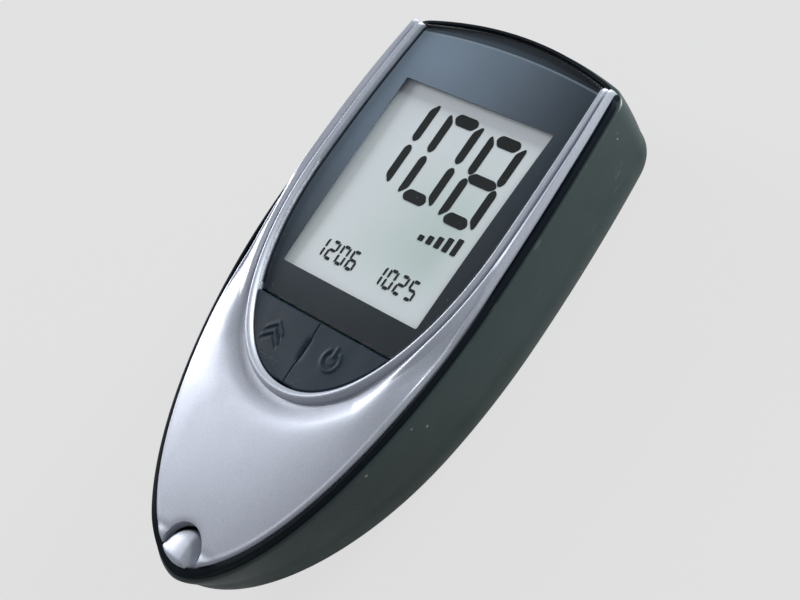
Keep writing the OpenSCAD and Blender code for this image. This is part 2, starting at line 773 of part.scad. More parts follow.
// Strokes of one digit: top, upper right, lower right, bottom, lower left, upper left, middle
function strokes(v) = [
    [1, 1, 1, 1, 1, 1, 0], [0, 1, 1, 0, 0, 0, 0], [1, 1, 0, 1, 1, 0, 1],
    [1, 1, 1, 1, 0, 0, 1], [0, 1, 1, 0, 0, 1, 1], [1, 0, 1, 1, 0, 1, 1],
    [1, 0, 1, 1, 1, 1, 1], [1, 1, 1, 0, 0, 0, 0], [1, 1, 1, 1, 1, 1, 1],
    [1, 1, 1, 1, 0, 1, 1]][v];

module digit(v, w, h, s) {
    on = strokes(v);
    g = s * 0.12;
    module bar(len_, grow)
        polygon([[-len_ / 2 + g, s / 2], [len_ / 2 - g, s / 2],
            [len_ / 2 - s * grow - g, -s / 2], [-len_ / 2 + s * grow + g, -s / 2]]);
    module mid_bar()
        polygon([[-w / 2 + s * 0.5 + g, 0], [-w / 2 + s + g, s / 2], [w / 2 - s - g, s / 2],
            [w / 2 - s * 0.5 - g, 0], [w / 2 - s - g, -s / 2], [-w / 2 + s + g, -s / 2]]);
    module upright()
        polygon([[s / 2, h / 2 - g], [s / 2, s * 0.5 + g], [0, g], [-s / 2, s * 0.5 + g],
            [-s / 2, h / 2 - s - g]]);
    if (on[0]) translate([0, h / 2 - s / 2]) bar(w, 1);
    if (on[3]) translate([0, -h / 2 + s / 2]) mirror([0, 1]) bar(w, 1);
    if (on[6]) mid_bar();
    if (on[1]) translate([w / 2 - s / 2, 0]) upright();
    if (on[2]) translate([w / 2 - s / 2, 0]) mirror([0, 1]) upright();
    if (on[5]) translate([-w / 2 + s / 2, 0]) mirror([1, 0]) upright();
    if (on[4]) translate([-w / 2 + s / 2, 0]) mirror([1, 0]) mirror([0, 1]) upright();
}

module digit_row(values, pitch, w, h, s)
    for (i = [0:len(values) - 1])
        translate([i * pitch, 0]) digit(values[i], w, h, s);

module small_row(values) {
    w = small_digit_h * 0.56;
    digit_row(values, w + 0.6, w, small_digit_h, small_stroke);
}

module lcd_digits() color("#15191b") {
    big_y = window_y1 - digit_margin - digit_h / 2;
    translate([0, 0, panel_z]) linear_extrude(film_t) {
        translate([window_w_top / 2 - digit_side - 2 * digit_pitch, big_y])
            digit_row([1, 0, 8], digit_pitch, digit_w, digit_h, digit_stroke);
        translate([-left_row_x, window_y0 + small_digit_y]) small_row([1, 2, 0, 6]);
        translate([right_row_x, window_y0 + small_digit_y]) small_row([1, 0, 2, 5]);
        for (i = [0:4])
            translate([bars_x + bar_pitch * i, window_y0 + bars_y])
                square([bar_w, bar_h + bar_rise * i]);
    }
}

// ---- Keys and switches ----

// Cap of the right key: rows run up from the arch to the split
function key_rows() =
    let (y0 = y_arch + key_gap + 0.25, y1 = y_split - key_gap / 2, n = 9, m = 6)
    [for (i = [0:n])
        let (y = mix(y0, y1, pow(i / n, 1.5)), w = ring_x(y, key_gap))
        [for (j = [0:m])
            let (x = mix(key_gap / 2, w, j / m))
            [x, y, arc_z(y) - key_sink]]];

module key_posts() {
    low = board_z + 0.1 + key_travel;
    high = arc_z(key_y) - key_sink - key_t + 0.3;
    for (s = [-1, 1])
        translate([key_x + s * post_off, key_y, low]) cylinder(d = post_d, h = high - low);
    stem_low = board_z + switch_h + plunger_out + 0.03;
    translate([key_x, key_y, stem_low]) cylinder(d = 3, h = high - stem_low);
}

module right_key() color("#3a444e") {
    sheet(key_rows(), key_t);
    key_posts();
}

module left_key() mirror([1, 0, 0]) right_key();

module key_guide() color("#1b1f22") {
    y0 = y_arch + 2.6;
    y1 = y_split - 0.8;
    n = 8;
    right = [for (i = [0:n]) let (y = mix(y0, y1, i / n)) [ring_x(y, shelf_w + 0.5), y]];
    left = [for (i = [n:-1:0]) [-right[i][0], right[i][1]]];
    difference() {
        translate([0, 0, board_z]) linear_extrude(guide_t) polygon(concat(right, left));
        for (s = [-1, 1]) {
            translate([s * key_x - switch_w / 2 - 0.1, key_y - switch_w / 2 - 0.1, board_z - 1])
                cube([switch_w + 0.2, switch_w + 0.2, guide_t + 2]);
            for (k = [-1, 1])
                translate([s * key_x + k * post_off, key_y, board_z - 1])
                    cylinder(d = post_d + 2 * running_play, h = guide_t + 2);
        }
    }
}

module switch_body() color("#2b2b2d") difference() {
    translate([-switch_w / 2, -switch_w / 2, board_z]) cube([switch_w, switch_w, switch_h]);
    translate([0, 0, board_z + 0.2])
        cylinder(d = plunger_d + 2 * running_play, h = switch_h);
}

module plunger() color("#c9b48a")
    translate([0, 0, board_z + 0.35 + key_travel])
        cylinder(d = plunger_d, h = switch_h + plunger_out - 0.35 - key_travel);

module right_switch() translate([key_x, key_y, 0]) switch_body();
module left_switch() translate([-key_x, key_y, 0]) switch_body();
module right_plunger() translate([key_x, key_y, 0]) plunger();
module left_plunger() translate([-key_x, key_y, 0]) plunger();

// ---- Board and what it carries ----

board_low_y = y_tip + board_nose_back;
board_top_y = y_end - board_end_back;
board_wide_y0 = lower_screw_y + boss_d / 2 + 2;
board_wide_y1 = y_end - upper_screw_back - boss_d / 2 - 1.6;
socket_y0 = y_tip + notch_len + 0.8;

module main_board() color("#1f5a3a") difference() {
    translate([0, 0, board_z - board_t]) linear_extrude(board_t) polygon([
        [-socket_w / 2 + 0.5, board_low_y], [socket_w / 2 - 0.5, board_low_y],
        [board_nose_w / 2, board_low_y + 8], [board_nose_w / 2, board_wide_y0 - 1],
        [board_w / 2, board_wide_y0 + 1.5], [board_w / 2, board_wide_y1],
        [board_neck_w / 2, board_wide_y1 + 0.5], [board_neck_w / 2, board_top_y],
        [-board_neck_w / 2, board_top_y], [-board_neck_w / 2, board_wide_y1 + 0.5],
        [-board_w / 2, board_wide_y1], [-board_w / 2, board_wide_y0 + 1.5],
        [-board_nose_w / 2, board_wide_y0 - 1], [-board_nose_w / 2, board_low_y + 8]]);
    at_board_screws()
        translate([0, 0, board_z - board_t - 1]) cylinder(d = screw_d + 0.3, h = board_t + 2);
}

module under_board(x, y, w, l, h)
    translate([x - w / 2, y - l / 2, board_z - board_t - h]) cube([w, l, h]);

module on_board(x, y, w, l, h)
    translate([x - w / 2, y - l / 2, board_z]) cube([w, l, h]);

// Place a share t of the way from the strip socket to the bay's lower wall
function between_y(t) = mix(socket_y0 + socket_len + 4, bay_y0 - bay_wall, t);

module processor_chip() color("#17181a")
    under_board(-3.5, between_y(0.4), processor_w, processor_w, processor_t);
module memory_chip() color("#17181a")
    under_board(-11.4, bay_y0 - bay_wall - 1.2 - memory_l / 2, memory_w, memory_l, memory_t);
module display_driver() color("#0f0f10")
    on_board(0, window_mid, driver_w, driver_l, driver_t);
module clock_crystal() color("#b9bcc0")
    translate([8.4, bay_y0 - bay_wall - 3.2, board_z - board_t - crystal_d / 2])
        rotate([0, 90, 0]) cylinder(d = crystal_d, h = crystal_len);
module buzzer() color("#3b3a38")
    translate([6, between_y(0.36), board_z - board_t - buzzer_t]) difference() {
        cylinder(d = buzzer_d, h = buzzer_t);
        translate([0, 0, -1]) cylinder(d = buzzer_d / 5, h = buzzer_t / 2 + 1);
    }

module board_capacitors() color("#a58a66")
    for (i = [-2:2])
        on_board(capacitor_pitch * i, y_arch - 3.5, capacitor_w, capacitor_w * 0.56, capacitor_t);

// ---- Strip port ----

module strip_port_guide() color("#c9cdd6") {
    notch_y = y_tip + notch_len - notch_w / 2;
    low = slot_z - tongue_under;
    intersection() {
        translate([0, 0, low]) linear_extrude(4) notch_shape(-tongue_gap);
        translate([0, 0, low]) linear_extrude(4) outline(cover_in, cover_nose_in);
        translate([0, notch_y, slot_z + 0.75 - tongue_dome_r]) sphere(tongue_dome_r, $fn = 96);
    }
    translate([-slot_w / 2, notch_y + 2, low])
        cube([slot_w, y_tip + notch_len + 0.6 - notch_y - 2, tongue_under - 0.05]);
}

module strip_socket() color("#ded8c8") difference() {
    union() {
        translate([-socket_w / 2, socket_y0, slot_z - socket_under])
            cube([socket_w, socket_len, socket_under + slot_h + 0.2]);
        translate([-socket_w / 2, socket_y0, slot_z - socket_under])
            cube([socket_w, socket_len + 4, board_z - board_t - slot_z + socket_under]);
    }
    translate([-slot_w / 2, socket_y0 - 1, slot_z]) cube([slot_w, socket_len - 0.2, slot_h]);
}

module strip_contacts() color("#d9b45a")
    for (i = [0:3])
        translate([(i - 1.5) * strip_contact_pitch - strip_contact_w / 2,
            socket_y0 + 2, slot_z])
            cube([strip_contact_w, 3, 0.15]);

// ---- Cells and their contacts ----

module cell() {
    body_l = cell_len - button_h;
    y0 = bay_y0 + contact_t + spring_room;
    translate([0, y0, 0]) rotate([-90, 0, 0]) {
        cylinder(d = cell_d, h = body_l);
        cylinder(d = button_d, h = cell_len);
    }
}

module left_cell() color("#8f9aa3")
    translate([-cell_pitch / 2, 0, cell_z]) cell();
module right_cell() color("#8f9aa3")
    translate([cell_pitch / 2, bay_y0 + bay_y1, cell_z]) rotate([0, 0, 180]) cell();

module contact_plates() color("#c8c4ba")
    at_cells()
        for (y = [bay_y0 + 0.01, bay_y1 - contact_t - 0.01]) {
            translate([-contact_w / 2, y, -contact_w / 2])
                cube([contact_w, contact_t, contact_w]);
            translate([-1, y, 0]) cube([2, contact_t, board_z - board_t - cell_z]);
        }

// Tapered helix of wire: rings of 8 points, 12 rings a turn
module coil(r0, r1, h, wire, turns) {
    steps = turns * 12;
    sides = 6;
    points = [for (i = [0:steps])
        let (t = i / steps, a = 360 * turns * t, r = mix(r0, r1, t), z = h * t)
        for (k = [0:sides - 1])
            let (b = 360 * k / sides, q = r + wire / 2 * cos(b))
            [q * cos(a), q * sin(a), z + wire / 2 * sin(b)]];
    skin = [for (i = [0:steps - 1]) for (k = [0:sides - 1])
        let (a = i * sides + k, b = i * sides + (k + 1) % sides, c = b + sides, e = a + sides)
        each [[a, b, c], [a, c, e]]];
    caps = [[for (k = [sides - 1:-1:0]) k], [for (k = [0:sides - 1]) steps * sides + k]];
    polyhedron(points = points, faces = concat(skin, caps), convexity = 6);
}

module contact_springs() color("#c8c4ba")
    at_cells()
        translate([0, bay_y0 + contact_t + spring_wire / 2 + 0.05, 0]) rotate([-90, 0, 0])
            coil(spring_w / 2, spring_tip_w / 2, spring_room - spring_wire - 0.1, spring_wire,
                spring_turns);

// ---- Screws ----

module screw(z_head, z_end, d, head_d, up) {
    head_low = up ? z_head : z_head - screw_head_h;
    difference() {
        union() {
            translate([0, 0, min(z_end, z_head)]) cylinder(d = d, h = abs(z_end - z_head));
            translate([0, 0, head_low]) cylinder(d = head_d, h = screw_head_h);
        }
        for (a = [0, 90])
            rotate([0, 0, a])
                translate([-head_d * 0.3, -0.25, up ? head_low + screw_head_h - 0.6 : head_low - 0.4])
                    cube([head_d * 0.6, 0.5, 1]);
    }
}

module case_screws() color("#9a9c9e")
    at_case_screws()
        screw(screw_recess, board_z - board_t + 2.4, screw_d, screw_head_d, false);

module board_screws() color("#9a9c9e")
    at_board_screws()
        screw(board_z, board_z - board_t - 5, screw_d - 0.1, screw_head_d - 0.4, true);

rear_case();
battery_door();
front_cover();
display_lens();
display_mask();
lcd_panel();
lcd_digits();
lcd_reflector();
lcd_frame();
lcd_connectors();
left_key();
right_key();
key_guide();
left_switch();
right_switch();
left_plunger();
right_plunger();
main_board();
processor_chip();
memory_chip();
display_driver();
clock_crystal();
board_capacitors();
buzzer();
strip_port_guide();
strip_socket();
strip_contacts();
left_cell();
right_cell();
contact_plates();
contact_springs();
case_screws();
board_screws();
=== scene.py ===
"""Looks of a hand-held test-strip meter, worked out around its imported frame.

Lengths in the classes are in millimetres, in the frame's own axes: +Y points to the
display end, +Z out of the display, and the meter lies on its back at z = 0. Each new
piece is a surface worked out on a grid of two parameters and then joined into a mesh.
"""

import logging
import math
from dataclasses import dataclass, field
from enum import Enum
from typing import Callable, Optional, Sequence

import bmesh
import bpy
import numpy as np
from mathutils import Matrix

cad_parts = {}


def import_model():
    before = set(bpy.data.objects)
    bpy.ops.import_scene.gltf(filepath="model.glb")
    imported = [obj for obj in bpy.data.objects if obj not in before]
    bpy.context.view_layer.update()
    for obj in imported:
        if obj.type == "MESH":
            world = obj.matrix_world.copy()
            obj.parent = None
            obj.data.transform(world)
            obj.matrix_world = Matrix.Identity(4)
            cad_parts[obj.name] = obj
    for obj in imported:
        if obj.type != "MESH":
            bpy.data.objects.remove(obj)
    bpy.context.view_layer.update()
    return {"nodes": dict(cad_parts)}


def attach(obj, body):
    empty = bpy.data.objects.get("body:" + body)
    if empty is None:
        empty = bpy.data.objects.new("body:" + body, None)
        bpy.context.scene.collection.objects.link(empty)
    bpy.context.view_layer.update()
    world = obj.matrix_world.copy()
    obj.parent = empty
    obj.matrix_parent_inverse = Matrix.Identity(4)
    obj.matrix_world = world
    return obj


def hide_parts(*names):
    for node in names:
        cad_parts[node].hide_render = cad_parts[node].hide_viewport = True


MM = 0.001
DUST = (0.6, 0.6, 0.57, 1.0)
LOG = logging.getLogger("meter")


def smooth(t: np.ndarray) -> np.ndarray:
    """Eased step 3t^2 - 2t^3 of t held between 0 and 1."""
    t = np.clip(t, 0.0, 1.0)
    return t * t * (3.0 - 2.0 * t)


def mix(a: np.ndarray, b: np.ndarray, t: np.ndarray) -> np.ndarray:
    """Straight blend from a to b by t."""
    return a + (b - a) * t


def bump_at(x: np.ndarray, middle: float, width: float) -> np.ndarray:
    """Bell exp(-((x - middle) / width)^2)."""
    return np.exp(-(((x - middle) / width) ** 2))


class Skin:
    """Collects grids of points and joins them into one closed mesh."""

    def __init__(self) -> None:
        """Starts with no points."""
        self.points: list[np.ndarray] = []
        self.marks: list[np.ndarray] = []
        self.quads: list[np.ndarray] = []
        self.rings: list[list[int]] = []
        self.count = 0

    def add(self, grid: np.ndarray, wrap: bool = False,
            mark: Optional[np.ndarray] = None) -> "Skin":
        """Adds a grid as quads: each cell's corners are taken once round.

        Args:
            grid: Points of shape (rows, columns, 3) in millimetres.
            wrap: Whether the last column joins the first.
            mark: A value for each point, kept as the attribute "mark".

        Returns:
            The skin itself.
        """
        rows, cols = grid.shape[:2]
        i, j = np.meshgrid(np.arange(rows - 1), np.arange(cols if wrap else cols - 1),
                           indexing="ij")
        k = (j + 1) % cols
        corners = [i * cols + j, i * cols + k, (i + 1) * cols + k, (i + 1) * cols + j]
        self.quads.append(np.stack(corners, axis=-1).reshape(-1, 4) + self.count)
        self.points.append(grid.reshape(-1, 3))
        values = np.zeros((rows, cols)) if mark is None else np.broadcast_to(mark, (rows, cols))
        self.marks.append(values.reshape(-1))
        self.count += rows * cols
        return self

    def add_face(self, ring: np.ndarray) -> "Skin":
        """Adds one flat face with the given ring of points."""
        self.rings.append(list(range(self.count, self.count + len(ring))))
        self.points.append(ring)
        self.marks.append(np.zeros(len(ring)))
        self.count += len(ring)
        return self

    def add_bar(self, grid: np.ndarray, mark: Optional[np.ndarray] = None) -> "Skin":
        """Adds a grid of closed loops and a flat face over its first and last loop."""
        return self.add(grid, wrap=True, mark=mark).add_face(grid[0]).add_face(grid[-1])

    def build(self, name: str, material: Optional[bpy.types.Material] = None,
              sharp: float = 50.0) -> bpy.types.Object:
        """Makes the object, with its doubles merged and its faces turned outwards.

        Args:
            name: Name of the object and of its mesh.
            material: Finish of the whole piece.
            sharp: Angle in degrees past which an edge stays sharp.

        Returns:
            The new object, at the origin and linked to the scene.
        """
        points = np.concatenate(self.points) * MM
        faces = np.concatenate(self.quads).tolist() if self.quads else []
        mesh = bpy.data.meshes.new(name)
        mesh.from_pydata(points.tolist(), [], faces + self.rings)
        layer = mesh.attributes.new("mark", "FLOAT", "POINT")
        layer.data.foreach_set("value", np.concatenate(self.marks).astype(np.float32))
        work = bmesh.new()
        work.from_mesh(mesh)
        bmesh.ops.remove_doubles(work, verts=work.verts, dist=2e-7)
        bmesh.ops.dissolve_degenerate(work, edges=work.edges, dist=1e-8)
        bmesh.ops.recalc_face_normals(work, faces=work.faces)
        work.to_mesh(mesh)
        work.free()
        piece = bpy.data.objects.new(name, mesh)
        bpy.context.scene.collection.objects.link(piece)
        if material:
            mesh.materials.append(material)
        shade(piece, sharp)
        return piece


def shade(piece: bpy.types.Object, sharp: float = 50.0) -> None:
    """Shades a piece smooth, with its edges past sharp degrees kept hard."""
    piece.data.shade_smooth()
    piece.data.set_sharp_from_angle(angle=math.radians(sharp))


def bake(piece: bpy.types.Object) -> None:
    """Turns a piece's modifiers into its own mesh."""
    bpy.context.view_layer.update()
    done = piece.evaluated_get(bpy.context.evaluated_depsgraph_get())
    mesh = bpy.data.meshes.new_from_object(done)
    piece.modifiers.clear()
    piece.data = mesh


def carve(piece: bpy.types.Object, cutter: bpy.types.Object, sharp: float = 50.0) -> None:
    """Takes the cutter's solid out of a piece and removes the cutter.

    Args:
        piece: Closed piece that is cut.
        cutter: Closed solid that is taken out of it.
        sharp: Angle in degrees past which an edge stays sharp.
    """
    cut = piece.modifiers.new("carve", "BOOLEAN")
    cut.operation = "DIFFERENCE"
    cut.solver = "EXACT"
    cut.object = cutter
    bake(piece)
    bpy.data.objects.remove(cutter)
    shade(piece, sharp)


def lathe(profile: Sequence[tuple[float, float]], middle: tuple[float, float, float],
          axis: str = "z", sides: int = 48) -> np.ndarray:
    """Surface of revolution: each (radius, height) of the profile goes once round the axis.

    Args:
        profile: Radius and height of each step, from pole to pole.
        middle: Point on the axis at height 0.
        axis: "y" or "z".
        sides: Steps round the axis.

    Returns:
        Grid of shape (steps, sides, 3), to be added with wrap.
    """
    radius, height = np.array(profile, float).T
    turn = np.linspace(0.0, 2.0 * math.pi, sides, endpoint=False)
    a = radius[:, None] * np.cos(turn)
    b = radius[:, None] * np.sin(turn)
    h = np.broadcast_to(height[:, None], a.shape)
    order = (a, b, h) if axis == "z" else (a, h, -b)
    return np.stack(order, axis=-1) + np.array(middle)


def border(grid: np.ndarray) -> np.ndarray:
    """Points round the border of a grid, once round."""
    return np.concatenate([grid[0, :-1], grid[:-1, -1], grid[-1, :0:-1], grid[:0:-1, 0]])


def arc_steps(count: int) -> np.ndarray:
    """Angles from 0 to 90 degrees, both included."""
    return np.radians(np.linspace(0.0, 90.0, count))


@dataclass(frozen=True)
class MeterForm:
    """Outline, front arc, ring, door and cells that the pieces share, in millimetres."""

    nose_y: float = -50.0
    end_y: float = 50.0
    half_width: float = 25.5
    front_z: float = 20.0
    arc_radius: float = 750.0
    peak_y: float = 20.0
    widest_y: float = 9.0
    shoulder_in: float = 2.9
    end_bow: float = 3.5
    corner: float = 3.0
    nose_power: float = 0.55
    lift_y: float = -12.0
    lift_len: float = 38.0
    nose_lift: float = 5.0
    rim_drop: float = 2.3
    seat_drop: float = 1.5
    ring_half: float = 21.1
    ring_y: float = 17.0
    arch_y: float = -17.0
    ring_taper: float = 1.5
    arch_power: float = 0.47
    split_y: float = -5.6
    rib_end_y: float = 45.75
    nose_rim: float = 1.1
    notch_half: float = 4.4
    notch_y: float = -46.2
    panel_z: float = 17.35
    draft: float = 0.8
    round_w: float = 4.8
    round_h: float = 7.0
    nose_lap: float = 0.35
    door_half: float = 13.5
    door_rail: float = 1.1
    door_rail_t: float = 0.55
    door_y: float = -6.5
    door_top: float = 1.65
    bay_y0: float = -5.1
    bay_y1: float = 43.9
    cell_x: float = 5.7
    cell_z: float = 7.5
    cell_r: float = 5.25

    def arc_z(self, y: np.ndarray) -> np.ndarray:
        """Height of the long front arc: front_z - (y - peak_y)^2 / (2 arc_radius)."""
        return self.front_z - (y - self.peak_y) ** 2 / (2.0 * self.arc_radius)

    def rim_z(self, y: np.ndarray) -> np.ndarray:
        """Height of the case's shoulder, rim_drop below the front arc."""
        return self.arc_z(y) - self.rim_drop

    def seat_z(self, y: np.ndarray) -> np.ndarray:
        """Height of the ledge inside the case's rim, on which the front cover sits."""
        return self.arc_z(y) - self.rim_drop - self.seat_drop

    def under_z(self, y: np.ndarray) -> np.ndarray:
        """Height of the underside, which rises as a parabola towards the nose."""
        return self.nose_lift * np.clip((self.lift_y - y) / self.lift_len, 0.0, 1.0) ** 2

    def side_x(self, y: np.ndarray, inset: float, nose_inset: float) -> np.ndarray:
        """Half width at y: a power curve to the nose and a parabola to the display end.

        Args:
            y: Places along the meter.
            inset: How far the side is drawn in.
            nose_inset: How far the nose is drawn in.

        Returns:
            Half width at each y.
        """
        reach = self.widest_y - self.nose_y - nose_inset
        nose = np.clip(1.0 - ((self.widest_y - y) / reach) ** 2, 0.0, 1.0) ** self.nose_power
        end = self.shoulder_in * ((y - self.widest_y) / (self.end_y - self.widest_y)) ** 2
        return np.where(y < self.widest_y, (self.half_width - inset) * nose,
                        self.half_width - inset - end)

    def ring_x(self, y: np.ndarray, inset: float = 0.0) -> np.ndarray:
        """Half width of the ring's inner edge at y: an arch below ring_y, a parabola above.

        Args:
            y: Places along the meter.
            inset: How far the edge is drawn in.

        Returns:
            Half width at each y.
        """
        reach = self.ring_y - self.arch_y - inset
        arch = np.clip(1.0 - ((self.ring_y - y) / reach) ** 2, 0.0, 1.0) ** self.arch_power
        end = self.ring_taper * ((y - self.ring_y) / (self.end_y - self.ring_y)) ** 2
        return np.where(y < self.ring_y, (self.ring_half - inset) * arch,
                        self.ring_half - inset - end)

    def half_loop(self, inset: float, nose_inset: float, nose: int = 110, side: int = 70,
                  corner: int = 14, end: int = 30) -> np.ndarray:
        """Right half of the case's outline, from the nose to the middle of the display end.

        The nose is x = w sin(a)^(2p), y = y0 - reach cos(a). A quadratic curve rounds the
        corner, and the end bows out as a parabola.

        Args:
            inset: How far the sides are drawn in.
            nose_inset: How far the nose is drawn in.
            nose: Steps round the nose.
            side: Steps along the side.
            corner: Steps round the corner.
            end: Steps along the display end.

        Returns:
            Points of shape (count, 2).
        """
        reach = self.widest_y - self.nose_y - nose_inset
        yc = self.end_y - self.end_bow - inset
        xc = float(self.side_x(np.array(yc), inset, nose_inset))
        y1 = yc - self.corner
        x1 = float(self.side_x(np.array(y1), inset, nose_inset))
        x2 = xc - self.corner
        y2 = yc + self.end_bow * (1.0 - (x2 / xc) ** 2)
        a = np.radians(np.linspace(0.0, 90.0, nose, endpoint=False))
        nose_part = np.stack([(self.half_width - inset) * np.sin(a) ** (2.0 * self.nose_power),
                              self.widest_y - reach * np.cos(a)], axis=-1)
        y = np.linspace(self.widest_y, y1, side)
        side_part = np.stack([self.side_x(y, inset, nose_inset), y], axis=-1)
        t = np.linspace(0.0, 1.0, corner + 1)[1:, None]
        bend = (1 - t) ** 2 * np.array([x1, y1]) + 2 * t * (1 - t) * np.array([xc, yc])
        bend = bend + t ** 2 * np.array([x2, y2])
        x = np.linspace(x2, 0.0, end + 1)[1:]
        end_part = np.stack([x, yc + self.end_bow * (1.0 - (x / xc) ** 2)], axis=-1)
        return np.concatenate([nose_part, side_part, bend, end_part])

    def full_loop(self, half: np.ndarray, height: np.ndarray) -> np.ndarray:
        """Closed loop of points from a right half and its heights, mirrored at x = 0."""
        right = np.column_stack([half, height])
        return np.concatenate([right, (right * [-1.0, 1.0, 1.0])[-2:0:-1]])

    def ladder(self, half: np.ndarray, height: Callable[[np.ndarray, np.ndarray], np.ndarray],
               cols: int = 28) -> np.ndarray:
        """Grid across the meter between a half loop and its mirror, at height(x, y).

        Args:
            half: Right half of the loop.
            height: Rule that gives z from x and y.
            cols: Columns across the meter.

        Returns:
            Grid of shape (len(half), cols, 3).
        """
        u = np.linspace(-1.0, 1.0, cols)
        x = half[:, :1] * u
        y = np.broadcast_to(half[:, 1:], x.shape)
        return np.stack([x, y, height(x, y)], axis=-1)


class Sheet:
    """Adds nodes to one node tree and wires their sockets."""

    def __init__(self, tree: bpy.types.NodeTree) -> None:
        """Keeps the tree that the nodes go into."""
        self.tree = tree

    def add(self, kind: str, sockets: Optional[dict] = None, **settings: object) -> bpy.types.Node:
        """Adds one node.

        Args:
            kind: The node's type name.
            sockets: Value or source socket of each named or numbered input.
            settings: The node's own properties.

        Returns:
            The new node.
        """
        node = self.tree.nodes.new(kind)
        for key, value in settings.items():
            setattr(node, key, value)
        for key, value in (sockets or {}).items():
            if isinstance(value, bpy.types.NodeSocket):
                self.tree.links.new(value, node.inputs[key])
            else:
                node.inputs[key].default_value = value
        return node

    def math(self, operation: str, a: object, b: object = 0.0, clamp: bool = False
             ) -> bpy.types.NodeSocket:
        """Output of a Math node on two values or sockets."""
        return self.add("ShaderNodeMath", {0: a, 1: b}, operation=operation,
                        use_clamp=clamp).outputs[0]

    def times(self, a: object, b: object) -> bpy.types.NodeSocket:
        """Product of two values or sockets."""
        return self.math("MULTIPLY", a, b)

    def plus(self, a: object, b: object, clamp: bool = False) -> bpy.types.NodeSocket:
        """Sum of two values or sockets."""
        return self.math("ADD", a, b, clamp)

    def noise(self, where: bpy.types.NodeSocket, scale: object, detail: float = 2.0,
              **inputs: float) -> bpy.types.NodeSocket:
        """Value of a Noise Texture node at where."""
        return self.add("ShaderNodeTexNoise", {"Vector": where, "Scale": scale,
                                               "Detail": detail, **inputs}).outputs[0]

    def bump(self, height: bpy.types.NodeSocket, distance: float, strength: float = 1.0
             ) -> bpy.types.NodeSocket:
        """Normal of a Bump node whose distance is in millimetres."""
        return self.add("ShaderNodeBump", {"Height": height, "Distance": distance * MM,
                                           "Strength": strength}).outputs[0]

    def feed(self, out: bpy.types.Node, **sources: bpy.types.NodeSocket) -> None:
        """Wires each source to the named input of an output node."""
        for key, source in sources.items():
            self.tree.links.new(source, out.inputs[key])

    def principled(self, color: bpy.types.NodeSocket, rough: bpy.types.NodeSocket,
                   **inputs: object) -> bpy.types.Node:
        """Principled BSDF; further inputs are named with underscores for spaces."""
        named = {key.replace("_", " "): value for key, value in inputs.items()}
        return self.add("ShaderNodeBsdfPrincipled", {"Base Color": color, "Roughness": rough,
                                                     **named})

    def finish(self, shader: bpy.types.Node) -> None:
        """Wires a shader to the material's output."""
        self.add("ShaderNodeOutputMaterial", {"Surface": shader.outputs[0]})

    def span(self, value: object, low: float, high: float, to_low: float = 0.0,
             to_high: float = 1.0) -> bpy.types.NodeSocket:
        """Output of a smooth Map Range node."""
        return self.add("ShaderNodeMapRange", {
            "Value": value, "From Min": low, "From Max": high, "To Min": to_low,
            "To Max": to_high}, interpolation_type="SMOOTHSTEP").outputs["Result"]

    def blend(self, share: object, a: object, b: object) -> bpy.types.NodeSocket:
        """Output of a colour Mix node."""
        node = self.add("ShaderNodeMix", {0: share, 6: a, 7: b}, data_type="RGBA")
        return node.outputs[2]

    def object_place(self) -> bpy.types.NodeSocket:
        """Object coordinates."""
        return self.add("ShaderNodeTexCoord").outputs["Object"]

    def axes(self, where: bpy.types.NodeSocket) -> list[bpy.types.NodeSocket]:
        """The three coordinates of where."""
        return list(self.add("ShaderNodeSeparateXYZ", {"Vector": where}).outputs)

    def place(self, scale: tuple[float, float, float] = (1.0, 1.0, 1.0)) -> bpy.types.NodeSocket:
        """Object coordinates, stretched by scale."""
        return self.add("ShaderNodeMapping", {"Vector": self.object_place(),
                                              "Scale": scale}).outputs[0]


def new_material(name: str) -> tuple[Sheet, bpy.types.Material]:
    """Starts a material with an empty tree and gives its sheet."""
    material = bpy.data.materials.new(name)
    material.use_nodes = True
    material.node_tree.nodes.clear()
    return Sheet(material.node_tree), material


def new_group(name: str, inputs: dict[str, float], outputs: Sequence[str]
              ) -> tuple[Sheet, bpy.types.Node, bpy.types.Node]:
    """Starts a shader node group with number sockets.

    Args:
        name: Name of the group.
        inputs: Default value of each named input.
        outputs: Names of the outputs.

    Returns:
        The group's sheet, its input node and its output node.
    """
    tree = bpy.data.node_groups.new(name, "ShaderNodeTree")
    for key, value in inputs.items():
        socket = tree.interface.new_socket(key, in_out="INPUT", socket_type="NodeSocketFloat")
        socket.default_value = value
    for key in outputs:
        tree.interface.new_socket(key, in_out="OUTPUT", socket_type="NodeSocketFloat")
    sheet = Sheet(tree)
    return sheet, sheet.add("NodeGroupInput"), sheet.add("NodeGroupOutput")


class Pattern(Enum):
    """Structure of a surface."""

    MOULDED = "moulded_grain"
    BRUSHED = "brushed_lines"
    FLAKE = "paint_flake"
    LAYERED = "layered_bands"
    TRACED = "board_traces"


